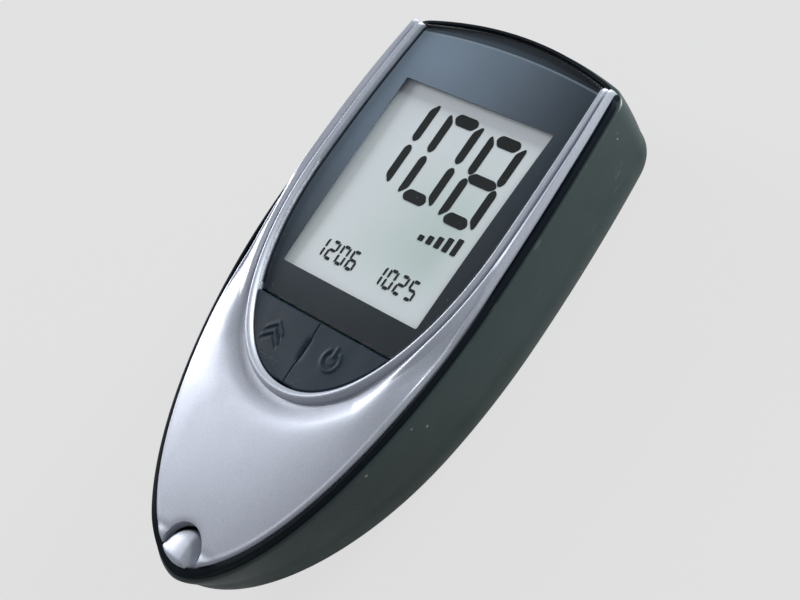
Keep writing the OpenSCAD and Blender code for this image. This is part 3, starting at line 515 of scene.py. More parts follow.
class Effects:
    """Builds the shader node groups that the finishes share."""

    def __init__(self) -> None:
        """Builds every group once."""
        self.groups: dict[str, bpy.types.NodeTree] = {}
        self.moulded()
        self.brushed()
        self.flake()
        self.layered()
        self.traced()
        self.edge_wear()
        self.handling()
        self.dust()

    def keep(self, sheet: Sheet) -> None:
        """Keeps a finished group under its name."""
        self.groups[sheet.tree.name] = sheet.tree

    def moulded(self) -> None:
        """Fine spark-eroded grain: two sizes of noise as height, a broad one as tone."""
        sheet, given, out = new_group(Pattern.MOULDED.value, {"Scale": 2600.0},
                                      ("Height", "Tone"))
        where = sheet.place()
        fine = sheet.noise(where, given.outputs[0], 3.0, Roughness=0.6)
        cells = sheet.add("ShaderNodeTexVoronoi", {"Vector": where, "Scale": given.outputs[0]},
                          feature="SMOOTH_F1")
        broad = sheet.noise(where, 55.0, 4.0)
        sheet.feed(out, Height=sheet.plus(fine, sheet.times(cells.outputs[0], 0.6)),
                   Tone=sheet.plus(sheet.times(broad, 0.6), sheet.times(fine, 0.4)))
        self.keep(sheet)

    def brushed(self) -> None:
        """Drawn metal: noise stretched thin along Y."""
        sheet, given, out = new_group(Pattern.BRUSHED.value, {"Scale": 3000.0},
                                      ("Height", "Tone"))
        lines = sheet.noise(sheet.place((1.0, 0.03, 1.0)), given.outputs[0], 4.0)
        broad = sheet.noise(sheet.place(), 300.0)
        sheet.feed(out, Height=lines,
                   Tone=sheet.plus(sheet.times(lines, 0.6), sheet.times(broad, 0.4)))
        self.keep(sheet)

    def flake(self) -> None:
        """Metal flake in paint: each small cell has its own tone, under a soft orange peel."""
        sheet, given, out = new_group(Pattern.FLAKE.value, {"Scale": 9000.0},
                                      ("Height", "Tone"))
        where = sheet.place()
        cells = sheet.add("ShaderNodeTexVoronoi", {"Vector": where, "Scale": given.outputs[0]})
        split = sheet.add("ShaderNodeSeparateColor", {"Color": cells.outputs["Color"]})
        cloud = sheet.noise(where, 70.0, 3.0)
        sheet.feed(out, Height=sheet.noise(where, 900.0),
                   Tone=sheet.plus(sheet.times(split.outputs[0], 0.45), sheet.times(cloud, 0.55)))
        self.keep(sheet)

    def layered(self) -> None:
        """Thin layers across X, as in a stacked rubber connector or a wound film."""
        sheet, given, out = new_group(Pattern.LAYERED.value, {"Scale": 1500.0},
                                      ("Height", "Tone"))
        bands = sheet.add("ShaderNodeTexWave", {"Vector": sheet.place(),
                                                "Scale": given.outputs[0], "Distortion": 0.4})
        sheet.feed(out, Height=bands.outputs["Fac"], Tone=bands.outputs["Fac"])
        self.keep(sheet)

    def traced(self) -> None:
        """Copper lines under solder mask: the edges of long brick cells stand up a little."""
        sheet, given, out = new_group(Pattern.TRACED.value, {"Scale": 260.0},
                                      ("Height", "Tone"))
        bricks = sheet.add("ShaderNodeTexBrick", {
            "Vector": sheet.place(), "Scale": given.outputs[0], "Mortar Size": 0.06,
            "Mortar Smooth": 0.3, "Brick Width": 1.3, "Row Height": 0.35})
        weave = sheet.noise(sheet.place(), 1800.0)
        sheet.feed(out, Height=bricks.outputs["Fac"], Tone=sheet.plus(
            sheet.times(bricks.outputs["Fac"], 0.7), sheet.times(weave, 0.3)))
        self.keep(sheet)

    def edge_wear(self) -> None:
        """Worn ridges: convex places, broken up by noise."""
        sheet, given, out = new_group("edge_wear", {"Start": 0.51, "Full": 0.56}, ("Mask",))
        ridge = sheet.add("ShaderNodeNewGeometry").outputs["Pointiness"]
        mask = sheet.span(ridge, given.outputs[0], given.outputs[1])
        noise = sheet.noise(sheet.place(), 1100.0, 4.0)
        sheet.feed(out, Mask=sheet.times(mask, sheet.span(noise, 0.35, 0.6, 0.35)))
        self.keep(sheet)

    def handling(self) -> None:
        """Marks of use: broad smudges and short fine scratches."""
        sheet, given, out = new_group("handling_marks", {"Scale": 120.0}, ("Smudge", "Scratch"))
        cloud = sheet.noise(sheet.place((1.0, 0.6, 1.0)), given.outputs[0], 5.0, Distortion=0.6)
        lines = [sheet.span(sheet.noise(sheet.place(stretch), 2400.0, 1.0), 0.71, 0.76)
                 for stretch in ((1.0, 0.05, 1.0), (0.09, 1.0, 1.0))]
        patch = sheet.span(sheet.noise(sheet.place(), 260.0), 0.5, 0.62)
        sheet.feed(out, Smudge=sheet.span(cloud, 0.42, 0.72),
                   Scratch=sheet.times(sheet.math("MAXIMUM", *lines), patch))
        self.keep(sheet)

    def dust(self) -> None:
        """Sparse specks: the middles of a few cells."""
        sheet, given, out = new_group("dust_specks", {"Scale": 420.0, "Size": 0.1}, ("Mask",))
        cells = sheet.add("ShaderNodeTexVoronoi", {"Vector": sheet.place(),
                                                   "Scale": given.outputs[0]})
        split = sheet.add("ShaderNodeSeparateColor", {"Color": cells.outputs["Color"]})
        size = sheet.times(given.outputs[1], sheet.span(split.outputs[0], 0.72, 1.0))
        sheet.feed(out, Mask=sheet.math("LESS_THAN", cells.outputs["Distance"], size))
        self.keep(sheet)

    def use(self, sheet: Sheet, name: str, **inputs: float) -> bpy.types.Node:
        """Places one of the groups in a material's tree."""
        node = sheet.add("ShaderNodeGroup", node_tree=self.groups[name])
        for key, value in inputs.items():
            node.inputs[key].default_value = value
        return node


@dataclass(frozen=True)
class Finish:
    """One plain finish: its colour and how it is broken up."""

    name: str
    color: tuple[float, float, float]
    roughness: float = 0.45
    metallic: float = 0.0
    pattern: Pattern = Pattern.MOULDED
    scale: float = 2600.0
    tone: float = 0.12
    depth: float = 0.006
    wear: float = 0.0
    smudge: float = 0.1
    scratch: float = 0.15
    dust: float = 0.25
    speck: float = 0.1
    coat: float = 0.0
    specular: float = 0.5
    cloud: float = 0.0
    # Painted shade: near-black colour for marked places, standing in for the shade in the seam
    # between cover and case.
    seam_shade: Optional[tuple[float, float, float]] = None

    def build(self, effects: Effects) -> bpy.types.Material:
        """Makes the material.

        Args:
            effects: The shared groups.

        Returns:
            A material whose colour, roughness and bump all vary over the surface.
        """
        sheet, material = new_material(self.name)
        grain = effects.use(sheet, self.pattern.value, Scale=self.scale)
        marks = effects.use(sheet, "handling_marks")
        specks = effects.use(sheet, "dust_specks", Size=self.speck)
        base = np.array(self.color)
        dark = (*(base * (1.0 - self.tone)), 1.0)
        light = (*np.minimum(base * (1.0 + self.tone), 1.0), 1.0)
        pale = (*mix(base, np.array([0.62, 0.62, 0.6]), 0.55), 1.0)
        color = sheet.blend(sheet.span(grain.outputs["Tone"], 0.3, 0.7), dark, light)
        if self.cloud:
            cloud = sheet.noise(sheet.object_place(), 52.0, 4.0)
            share = sheet.span(cloud, 0.42, 0.68, 0.0, self.cloud)
            color = sheet.blend(share, color, (*(base * (0.45, 0.55, 0.5)), 1.0))
        if self.wear:
            worn = effects.use(sheet, "edge_wear")
            color = sheet.blend(sheet.times(worn.outputs["Mask"], self.wear), color, pale)
        color = sheet.blend(sheet.times(marks.outputs["Scratch"], self.scratch), color, pale)
        color = sheet.blend(sheet.times(specks.outputs["Mask"], self.dust), color, DUST)
        rough = sheet.plus(sheet.times(marks.outputs["Smudge"], self.smudge),
                           self.roughness - 0.3 * self.smudge)
        rough = sheet.plus(rough, sheet.times(grain.outputs["Height"], 0.06))
        height = sheet.math("SUBTRACT", grain.outputs["Height"],
                            sheet.times(marks.outputs["Scratch"], 0.8))
        normal = sheet.bump(height, self.depth, 0.6)
        shader = sheet.principled(color, rough, Metallic=self.metallic, Normal=normal,
                                  Coat_Weight=self.coat, Coat_Roughness=0.12,
                                  Specular_IOR_Level=self.specular)
        # Painted shade: where the mark is set, a near-black colour with almost no reflection stands
        # in for the seam's shade.
        if self.seam_shade:
            mark = sheet.add("ShaderNodeAttribute", attribute_name="mark").outputs["Fac"]
            seam_shade_tint = sheet.blend(grain.outputs["Tone"], (*self.seam_shade, 1.0),
                               (*(1.3 * np.array(self.seam_shade)), 1.0))
            plain = sheet.principled(seam_shade_tint, rough, Normal=normal, Specular_IOR_Level=0.06)
            shader = sheet.add("ShaderNodeMixShader", {
                0: sheet.span(mark, 0.25, 0.75), 1: shader.outputs[0], 2: plain.outputs[0]})
        sheet.finish(shader)
        return material


class Wardrobe:
    """Builds each finish once and hands it out by name."""

    def __init__(self) -> None:
        """Builds the shared effects."""
        self.effects = Effects()
        self.made: dict[str, bpy.types.Material] = {}

    def get(self, finish: Finish) -> bpy.types.Material:
        """The material of a finish."""
        if finish.name not in self.made:
            self.made[finish.name] = finish.build(self.effects)
        return self.made[finish.name]

    def clear_lens(self) -> bpy.types.Material:
        """Clear polished plastic: only its reflection shows, and its cut edges are denser."""
        sheet, material = new_material("clear_lens")
        marks = self.effects.use(sheet, "handling_marks", Scale=90.0)
        specks = self.effects.use(sheet, "dust_specks", Size=0.07)
        edge = sheet.add("ShaderNodeAttribute", attribute_name="mark").outputs["Fac"]
        inside = sheet.add("ShaderNodeNewGeometry").outputs["Backfacing"]
        shine = sheet.times(sheet.add("ShaderNodeFresnel", {"IOR": 1.22}).outputs[0],
                            sheet.math("SUBTRACT", 1.0, inside))
        alpha = sheet.plus(shine, sheet.times(edge, 0.12))
        alpha = sheet.plus(alpha, sheet.times(marks.outputs["Scratch"], 0.06))
        alpha = sheet.plus(alpha, sheet.times(specks.outputs["Mask"], 0.2), True)
        color = sheet.blend(edge, (0.93, 0.96, 1.0, 1.0), (0.35, 0.42, 0.48, 1.0))
        rough = sheet.plus(sheet.times(marks.outputs["Smudge"], 0.05), 0.035)
        sheet.finish(sheet.principled(color, rough, Metallic=1.0, Alpha=alpha))
        return material

    def mask_print_painted_light(self) -> bpy.types.Material:
        """Slate print with painted light: a painted reflection lightens it and turns it bluer
        towards its upper left corner, painted shade darkens it past the end crease, and a painted
        highlight runs along the crease.
        """
        sheet, material = new_material("mask_print_painted_light")
        where = sheet.object_place()
        x, y, _ = sheet.axes(where)
        cloud = sheet.noise(where, 90.0, 3.0)
        grain = sheet.noise(where, 9000.0)
        # Painted reflection: the print lightens and turns bluer towards the upper left corner.
        share = sheet.times(sheet.times(sheet.span(y, -0.012, 0.047), sheet.span(x, 0.03, -0.022)),
                            sheet.span(cloud, 0.0, 0.8, 0.85, 1.1))
        color = sheet.blend(share, (0.009, 0.015, 0.022, 1.0), (0.20, 0.26, 0.34, 1.0))
        # Painted shade: the print darkens past the crease, where the lens turns down away from the
        # light.
        bow = sheet.plus(y, sheet.times(sheet.times(x, x), 3.59))
        color = sheet.blend(sheet.span(bow, 0.0462, 0.0464, 0.0, 0.75), color,
                            (0.008, 0.013, 0.019, 1.0))
        # Painted highlight: a light line along the crease.
        crease = sheet.times(sheet.span(bow, 0.0459, 0.0461, 0.0, 0.4),
                             sheet.span(bow, 0.0464, 0.0462))
        color = sheet.blend(crease, color, (0.30, 0.36, 0.42, 1.0))
        color = sheet.blend(sheet.times(grain, 0.06), color, (0.01, 0.014, 0.02, 1.0))
        sheet.finish(sheet.principled(color, sheet.span(cloud, 0.0, 1.0, 0.45, 0.6),
                                      Normal=sheet.bump(grain, 0.0002), Specular_IOR_Level=0.1))
        return material

    def display_face(self, window: tuple[float, float]) -> bpy.types.Material:
        """Face of the display: pale grey that turns greener away from its edges.

        Args:
            window: Lowest and highest y of the window.

        Returns:
            The material of the display's panel.
        """
        sheet, material = new_material("display_face")
        where = sheet.object_place()
        x, y, _ = sheet.axes(where)
        low, high = window
        inner = sheet.times(sheet.span(x, -0.016, 0.010),
                            sheet.span(y, mix(low, high, 0.98) * MM, mix(low, high, 0.3) * MM))
        edge = sheet.times(sheet.span(x, 0.0166, 0.009),
                           sheet.span(y, (low - 1.0) * MM, (low + 11.0) * MM))
        cloud = sheet.noise(where, 60.0, 3.0)
        grain = sheet.noise(where, 5200.0)
        share = sheet.times(sheet.times(inner, edge), sheet.span(cloud, 0.2, 0.6, 0.75))
        color = sheet.blend(share, (0.74, 0.79, 0.83, 1.0), (0.53, 0.63, 0.62, 1.0))
        color = sheet.blend(sheet.times(grain, 0.1), color, (0.36, 0.42, 0.42, 1.0))
        sheet.finish(sheet.principled(color, sheet.span(cloud, 0.0, 1.0, 0.4, 0.55),
                                      Normal=sheet.bump(grain, 0.002), Specular_IOR_Level=0.25))
        return material


SLATE = Finish("key_slate", (0.010, 0.022, 0.037), 0.5, scale=3000.0, tone=0.1, depth=0.004,
               wear=0.05, dust=0.2, specular=0.18)
# SILVER and CHARCOAL carry the near-black colour of the painted seam shade.
SILVER = Finish("silver_paint", (0.45, 0.475, 0.555), 0.42, 0.4, Pattern.FLAKE, 9000.0, 0.07,
                0.002, wear=0.0, smudge=0.08, scratch=0.1, dust=0.1, coat=0.2,
                seam_shade=(0.008, 0.011, 0.016))
CHARCOAL = Finish("case_charcoal", (0.027, 0.044, 0.046), 0.38, scale=3400.0, tone=0.14,
                  depth=0.004, wear=0.1, smudge=0.12, scratch=0.15, dust=0.35, coat=0.1,
                  cloud=0.6, seam_shade=(0.005, 0.008, 0.012))
SWITCH = Finish("switch_black", (0.03, 0.03, 0.032), 0.45, scale=4000.0)
PLUNGER = Finish("plunger_tan", (0.56, 0.46, 0.28), 0.42, scale=4000.0, tone=0.06)
EPOXY = Finish("chip_epoxy", (0.025, 0.025, 0.027), 0.55, scale=5200.0)
STEEL = Finish("zinc_steel", (0.50, 0.51, 0.52), 0.33, 1.0, Pattern.BRUSHED)
INK = Finish("display_ink", (0.007, 0.010, 0.011), 0.5, scale=5000.0, tone=0.2, depth=0.001,
             smudge=0.05, scratch=0.0, dust=0.0, specular=0.1)
NICKEL = Finish("nickel_wire", (0.66, 0.64, 0.60), 0.3, 1.0, Pattern.BRUSHED, 4000.0, 0.1, 0.002,
                dust=0.1)


def settle(piece: bpy.types.Object, body: str, slot: str, *nodes: str) -> bpy.types.Object:
    """Puts a piece on its body and hides the nodes that it stands for.

    Args:
        piece: The finished piece.
        body: CAD body that it moves with.
        slot: Not used.
        nodes: CAD nodes that it replaces.

    Returns:
        The piece.
    """
    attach(piece, body)
    if nodes:
        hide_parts(*nodes)
    LOG.info("%s: %d faces on %s", piece.name, len(piece.data.polygons), body)
    return piece


@dataclass
class RearCase:
    """Dark tapering case with a rounded rim, a ledge, a door slot and screw recesses."""

    form: MeterForm
    wardrobe: Wardrobe
    shoulder: float = 0.5
    lip_r: float = 0.16
    lip_w: float = 0.5
    lip_h: float = 1.2
    lip_low: float = 0.3
    lip_low_len: float = 6.0
    end_rise: float = 0.35
    end_rise_y: float = 44.0
    wall: float = 2.2
    floor: float = 1.8
    gap: float = 0.15
    flare: float = 0.35
    screws: tuple[tuple[float, float], ...] = ((17.6, 41.5), (15.6, -17.5))
    recess_r: float = 2.2
    recess: float = 4.0
    recess_flare: float = 0.5
    boss_r: float = 2.4
    boss_bore: float = 1.15
    boss_top: float = 13.95
    web: float = 0.35
    plain: int = 0

    def level(self, inset: float, nose_inset: float, rule: Callable[[np.ndarray], np.ndarray]
              ) -> np.ndarray:
        """One loop round the case, drawn in, at the height that the rule gives for y."""
        half = self.form.half_loop(inset, nose_inset)
        return self.form.full_loop(half, rule(half[:, 1]))

    def lip_z(self, y: np.ndarray) -> np.ndarray:
        """Top of the dark lip, lower at the nose and a little higher at the display end."""
        low = mix(self.lip_low, 1.0, smooth((y - self.form.nose_y) / self.lip_low_len))
        rise = self.end_rise * smooth((y - self.end_rise_y) / 3.0)
        return self.form.rim_z(y) + self.lip_h * low + rise

    def wall_levels(self) -> list[np.ndarray]:
        """Loops from the underside's edge over the lip down to the inner floor's edge.

        The lower edge follows a quarter ellipse and the wall leans out to its fullest line.
        A quarter circle forms the shoulder, and the lip with its round edges stands on it.
        """
        form = self.form
        loops = []
        for a in arc_steps(16):
            inset = self.form.draft + self.form.round_w * (1 - math.sin(a))
            lift = self.form.round_h * (1 - math.cos(a))
            loops.append(self.level(inset, inset, lambda y, h=lift: form.under_z(y) + h))
        for t in np.linspace(0.0, 1.0, 11)[1:-1]:
            inset = self.form.draft * (1 - t) ** 1.6
            loops.append(self.level(inset, inset, lambda y, s=t: mix(
                form.under_z(y) + self.form.round_h, form.rim_z(y) - self.shoulder, s)))
        for a in arc_steps(7):
            inset = self.shoulder * (1 - math.cos(a))
            drop = self.shoulder * (1 - math.sin(a))
            loops.append(self.level(inset, inset, lambda y, d=drop: form.rim_z(y) - d))
        # Loops past this one, the lip and everything inside it, get the painted seam shade.
        self.plain = len(loops) - 1
        inset = self.shoulder + 0.03
        loops.append(self.level(inset, inset, lambda y: form.rim_z(y) + 0.03))
        for a in arc_steps(5):
            inset = self.shoulder + 0.05 + self.lip_r * (1 - math.cos(a))
            drop = self.lip_r * (1 - math.sin(a))
            loops.append(self.level(inset, inset, lambda y, d=drop: self.lip_z(y) - d))
        outer = self.shoulder + 0.05
        for a in arc_steps(5):
            inset = outer + self.lip_w - self.lip_r * (1 - math.sin(a))
            drop = self.lip_r * (1 - math.cos(a))
            loops.append(self.level(inset, inset + form.nose_rim, lambda y, d=drop:
                                    self.lip_z(y) - d))
        for inset in (outer + self.lip_w, self.wall):
            loops.append(self.level(inset, inset + form.nose_rim, form.seat_z))
        for a in arc_steps(8)[::-1]:
            inset = self.form.draft + self.wall + (self.form.round_w - 1.0) * (1 - math.sin(a))
            lift = self.floor + (self.form.round_h - self.floor) * (1 - math.cos(a))
            loops.append(self.level(inset, inset + form.nose_rim, lambda y, h=lift:
                                    form.under_z(y) + h))
        return loops

    def door_cutter(self) -> bpy.types.Object:
        """Slot of the door: a stepped profile across X carried along Y past the display end."""
        form = self.form
        low = form.door_top - form.door_rail_t - self.gap
        x1, x2 = form.door_half + self.gap, form.door_half + form.door_rail + self.gap
        top = self.floor + 0.2
        mouth = x1 + self.flare
        profile = np.array([(-mouth, -0.6), (-mouth, -0.05), (-x1, 0.3), (-x1, low), (-x2, low),
                            (-x2, top), (x2, top), (x2, low), (x1, low), (x1, 0.3),
                            (mouth, -0.05), (mouth, -0.6)])
        ends = [form.door_y - self.gap, form.end_y + 2.0]
        grid = np.stack([np.column_stack([profile[:, 0], np.full(len(profile), y),
                                          profile[:, 1]]) for y in ends])
        return Skin().add_bar(grid).build("door_cutter")

    def screw_cutter(self, x: float, y: float) -> bpy.types.Object:
        """Stepped hole of one case screw, flared at its mouth.

        Args:
            x: Place of its axis across the meter.
            y: Place of its axis along the meter.

        Returns:
            The closed cutter.
        """
        z = float(self.form.under_z(np.array(y)))
        flare, mouth = self.recess_flare, self.recess_r + self.recess_flare
        steps = [(0.0, -1.0), (mouth, -1.0), (mouth, z - 0.05)]
        for a in arc_steps(6):
            steps.append((self.recess_r + flare * (1 - math.sin(a)), z + flare * (1 - math.cos(a))))
        steps += [(self.recess_r, self.recess), (0.0, self.recess)]
        return Skin().add(lathe(steps, (x, y, 0.0)), wrap=True).build("screw_cutter")

    def build(self) -> bpy.types.Object:
        """Builds the case's shell, cuts it and dresses it."""
        form = self.form
        loops = self.wall_levels()
        # Painted shade: mark the lip and the inner faces for the near-black seam colour.
        seam_shade = (np.arange(len(loops)) > self.plain)[:, None] * 1.0
        skin = Skin().add(np.stack(loops), wrap=True, mark=seam_shade)
        low = self.form.draft + self.form.round_w
        deep = self.form.draft + self.wall + self.form.round_w - 1.0
        skin.add(form.ladder(form.half_loop(low, low), lambda x, y: form.under_z(y)))
        skin.add(form.ladder(form.half_loop(deep, deep + form.nose_rim),
                             lambda x, y: form.under_z(y) + self.floor))
        shell = skin.build("case_shell", self.wardrobe.get(CHARCOAL), 35.0)
        carve(shell, self.door_cutter(), 35.0)
        for x, y in self.screws:
            for side in (-1, 1):
                carve(shell, self.screw_cutter(side * x, y), 35.0)
        return settle(shell, "case", "case_plastic", "rear_case")

    def build_bosses(self) -> bpy.types.Object:
        """Hollow bosses that the case screws go through, standing on the case's floor."""
        skin = Skin()
        for x, y in self.screws:
            for side in (-1, 1):
                base, bore, top = self.recess + self.web, self.boss_bore, self.boss_top
                steps = [(bore, base), (self.boss_r, base), (self.boss_r, top - 0.25),
                         (self.boss_r - 0.25, top), (bore, top), (bore, base)]
                skin.add(lathe(steps, (side * x, y, 0.0)), wrap=True)
                cup = [(self.recess_r + 0.02, 2.2), (self.recess_r + 0.9, 2.2),
                       (self.recess_r + 0.9, base), (1.1, base), (1.1, self.recess),
                       (self.recess_r + 0.02, self.recess), (self.recess_r + 0.02, 2.2)]
                skin.add(lathe(cup, (side * x, y, 0.0)), wrap=True)
        return settle(skin.build("screw_bosses", self.wardrobe.get(CHARCOAL)), "case",
                      "case_plastic", "rear_case")


@dataclass
class BatteryBay:
    """Open box over the cells, with a flange that closes the door's slot from above."""

    form: MeterForm
    wardrobe: Wardrobe
    half: float = 11.1
    wall: float = 0.9
    roof_z: float = 12.9
    cell_gap: float = 0.2
    flange_w: float = 4.6
    flange_low: float = 1.8
    flange_top: float = 3.0
    fillet: float = 0.3
    corner: float = 1.2

    def half_rect(self, grow: float, corner: float) -> np.ndarray:
        """Right half of a rounded rectangle round the bay, grown by grow.

        Args:
            grow: How far its sides are moved out.
            corner: Radius of its corners.

        Returns:
            Points of shape (count, 2), from the low end to the high end.
        """
        y0, y1, x = self.form.bay_y0 - grow, self.form.bay_y1 + grow, self.half + grow
        a = arc_steps(8)
        low = np.stack([x - corner + corner * np.sin(a), y0 + corner - corner * np.cos(a)], -1)
        high = np.stack([x - corner + corner * np.cos(a), y1 - corner + corner * np.sin(a)], -1)
        first = np.linspace((0.0, y0), (x - corner, y0), 10)[:-1]
        last = np.linspace((x - corner, y1), (0.0, y1), 10)[1:]
        middle = np.linspace((x, y0 + corner), (x, y1 - corner), 24)[1:-1]
        return np.concatenate([first, low, middle, high, last])

    def roof(self, x: np.ndarray, y: np.ndarray) -> np.ndarray:
        """Inner roof: two troughs that follow the cells.

        Args:
            x: Places across the bay.
            y: Places along it, which the roof doesn't depend on.

        Returns:
            Height at each point.
        """
        form = self.form
        off = np.abs(np.abs(x) - form.cell_x)
        radius = form.cell_r + self.cell_gap
        trough = form.cell_z + np.sqrt(np.maximum(radius ** 2 - off ** 2, 9.0))
        return np.minimum(trough, self.roof_z)

    def build(self) -> bpy.types.Object:
        """Builds the bay as one folded sheet between an inner and an outer roof."""
        form = self.form
        low, top = self.flange_low, self.flange_top
        steps = [(0.0, None), (0.0, 8.0), (0.0, low + self.fillet), (self.fillet, low),
                 (self.flange_w, low), (self.flange_w, top), (self.wall + self.fillet, top),
                 (self.wall, top + self.fillet), (self.wall, self.roof_z + self.wall)]
        loops = []
        for grow, z in steps:
            half = self.half_rect(grow, self.corner + grow * 0.6)
            height = self.roof(half[:, 0], half[:, 1]) if z is None else np.full(len(half), z)
            loops.append(form.full_loop(half, height))
        skin = Skin().add(np.stack(loops), wrap=True)
        skin.add(form.ladder(self.half_rect(0.0, self.corner), self.roof, 60))
        outer = self.half_rect(self.wall, self.corner + self.wall * 0.6)
        skin.add(form.ladder(outer, lambda x, y: np.full(x.shape, self.roof_z + self.wall), 6))
        bay = skin.build("battery_bay", self.wardrobe.get(CHARCOAL), 40.0)
        return settle(bay, "case", "case_plastic", "rear_case")


@dataclass
class FrontCover:
    """Silver shell swept round the ring: ribs, grooves, a hollow and a notch in the nose."""

    form: MeterForm
    wardrobe: Wardrobe
    edge_in: float = 1.35
    end_edge_in: float = 1.0
    thickness: float = 1.3
    rib_w: float = 1.1
    rib_grow: float = 0.6
    rib_rise: float = 0.35
    moat: float = 0.66
    edge_drop: float = 0.95
    edge_r: float = 0.36
    seam_shade_from: float = 0.1
    groove_w: float = 0.32
    groove_drop: float = 0.95
    outer_rib_w: float = 1.3
    outer_rib_rise: float = 0.2
    bead_in: float = 0.5
    bead_w: float = 0.3
    bead_low: float = 0.06
    bead_high: float = 0.25
    crease_y: float = -43.9
    crease_drop: float = 0.4
    roll_rise: float = 0.22
    shelf: float = 1.2
    key_shelf: float = 0.8
    shelf_t: float = 0.7
    lens_pocket: float = 1.6
    key_pocket: float = 2.4
    skin_t: float = 1.5
    end_round: float = 0.9
    foot_gap: float = 0.08
    face_count: int = 0

    def ring_half(self) -> tuple[np.ndarray, np.ndarray]:
        """Right half of the ring's inner edge and its outward directions.

        Returns:
            Points and unit normals, each of shape (count, 2).
        """
        form = self.form
        a = np.radians(np.linspace(0.0, 90.0, 200, endpoint=False))
        reach = form.ring_y - form.arch_y
        arch = np.stack([form.ring_half * np.sin(a) ** (2 * form.arch_power),
                         form.ring_y - reach * np.cos(a)], axis=-1)
        y = np.concatenate([np.linspace(form.ring_y, form.rib_end_y - 1.0, 50),
                            np.linspace(form.rib_end_y - 1.0, form.rib_end_y, 14)[1:]])
        side = np.stack([form.ring_x(y), y], axis=-1)
        points = np.concatenate([arch, side])
        step = np.gradient(points, axis=0)
        step[0] = (1.0, 0.0)
        step /= np.linalg.norm(step, axis=1, keepdims=True)
        return points, np.stack([step[:, 1], -step[:, 0]], axis=-1)

    def reach(self, points: np.ndarray, normals: np.ndarray) -> np.ndarray:
        """Distance from each ring point along its normal to the cover's outer edge.

        It is found by halving the interval 26 times on all sections at once.

        Args:
            points: Points on the ring's inner edge.
            normals: Outward direction of each.

        Returns:
            One distance for each point.
        """
        form = self.form
        low, high = np.full(len(points), 0.5), np.full(len(points), 100.0)
        nose = self.edge_in + form.nose_rim - form.nose_lap
        for _ in range(26):
            middle = (low + high) / 2
            q = points + middle[:, None] * normals
            inset = mix(self.edge_in, self.end_edge_in, smooth((q[:, 1] - 10.0) / 30.0))
            inside = (q[:, 1] > form.nose_y + nose) & (
                q[:, 0] < form.side_x(q[:, 1], inset, nose))
            low, high = np.where(inside, middle, low), np.where(inside, high, middle)
        return (low + high) / 2

    def face(self, e: np.ndarray, span: np.ndarray, ring_y: np.ndarray) -> np.ndarray:
        """Height of the face over the front arc, e out from the ring's edge.

        A rounded rib comes first. Low on the meter a soft hollow follows it and the face
        falls as a power curve to the outer edge. Higher up a narrow groove and a second rib
        take the hollow's place, and outside that rib the face drops to a thin lip. A faint
        bead runs along the outer edge, which is rounded as a quarter circle.

        Args:
            e: Distance of each point from the ring's edge.
            span: Distance from the ring's edge to the cover's outer edge.
            ring_y: y of the ring point that each section starts from.

        Returns:
            Height over the front arc at each point.
        """
        s = np.clip((span - 3.0) / 9.0, 0.0, 1.0)
        w = self.rib_w + self.rib_grow * s
        t = np.clip((e - w) / (span - w), 0.0, 1.0)
        spread = 0.2 + 2.4 * s
        rib = self.rib_rise - self.moat * np.abs(2 * e / w - 1) ** 2.1
        bead = bump_at(e, span - self.bead_in, self.bead_w)
        near = np.exp(-(((e - w) / spread) ** 2))
        hollow = (self.rib_rise - self.moat * (1 + 0.75 * s)) * near + 0.15 * (1 - near)
        hollow = hollow - self.edge_drop * t ** 2.2 + self.bead_low * bead
        width = np.minimum(self.outer_rib_w, span - w - self.groove_w)
        v = (e - w - self.groove_w) / width
        outer = self.outer_rib_rise - 0.5 * np.abs(2 * np.clip(v, 0.0, 1.0) - 1) ** 2.1
        beyond = np.maximum(v - 1.0, 0.0) * width
        outer = outer - 0.35 * smooth(beyond / 0.35) - 0.7 * smooth(beyond / 2.2)
        outer = np.where(v < 0.0, -self.groove_drop, outer) + self.bead_high * bead
        share = smooth((ring_y + 9.0) / 10.5)
        face = mix(hollow, outer, share)
        face = np.where(e < w, rib, face)
        q = np.clip(1.0 - (span - e) / self.edge_r, 0.0, 1.0)
        return face - self.edge_r * (1.0 - np.sqrt(1.0 - q * q))

    def nose_shape(self, x: np.ndarray, y: np.ndarray) -> np.ndarray:
        """Change of height near the notch: a rolled rim round it and a crease at its left.

        Args:
            x: Places across the meter.
            y: Places along the meter.

        Returns:
            Change of z at each point.
        """
        form = self.form
        round_part = np.hypot(x, y - form.notch_y)
        away = np.where(y < form.notch_y, np.abs(x), round_part) - form.notch_half
        rim = -0.14 * np.exp(-np.maximum(away, 0.0) / 0.35)
        left = smooth((-x - 2.6) / 1.6) + 0.25 * smooth((x - 3.2) / 1.6)
        y0 = self.crease_y - 0.1 * np.abs(x)
        crease = -self.crease_drop * bump_at(y, y0, 0.45)
        roll = self.roll_rise * bump_at(y, y0 - 1.1, 0.6) - 0.5 * smooth((y0 - 1.2 - y) / 1.4)
        return rim + left * (crease + roll)

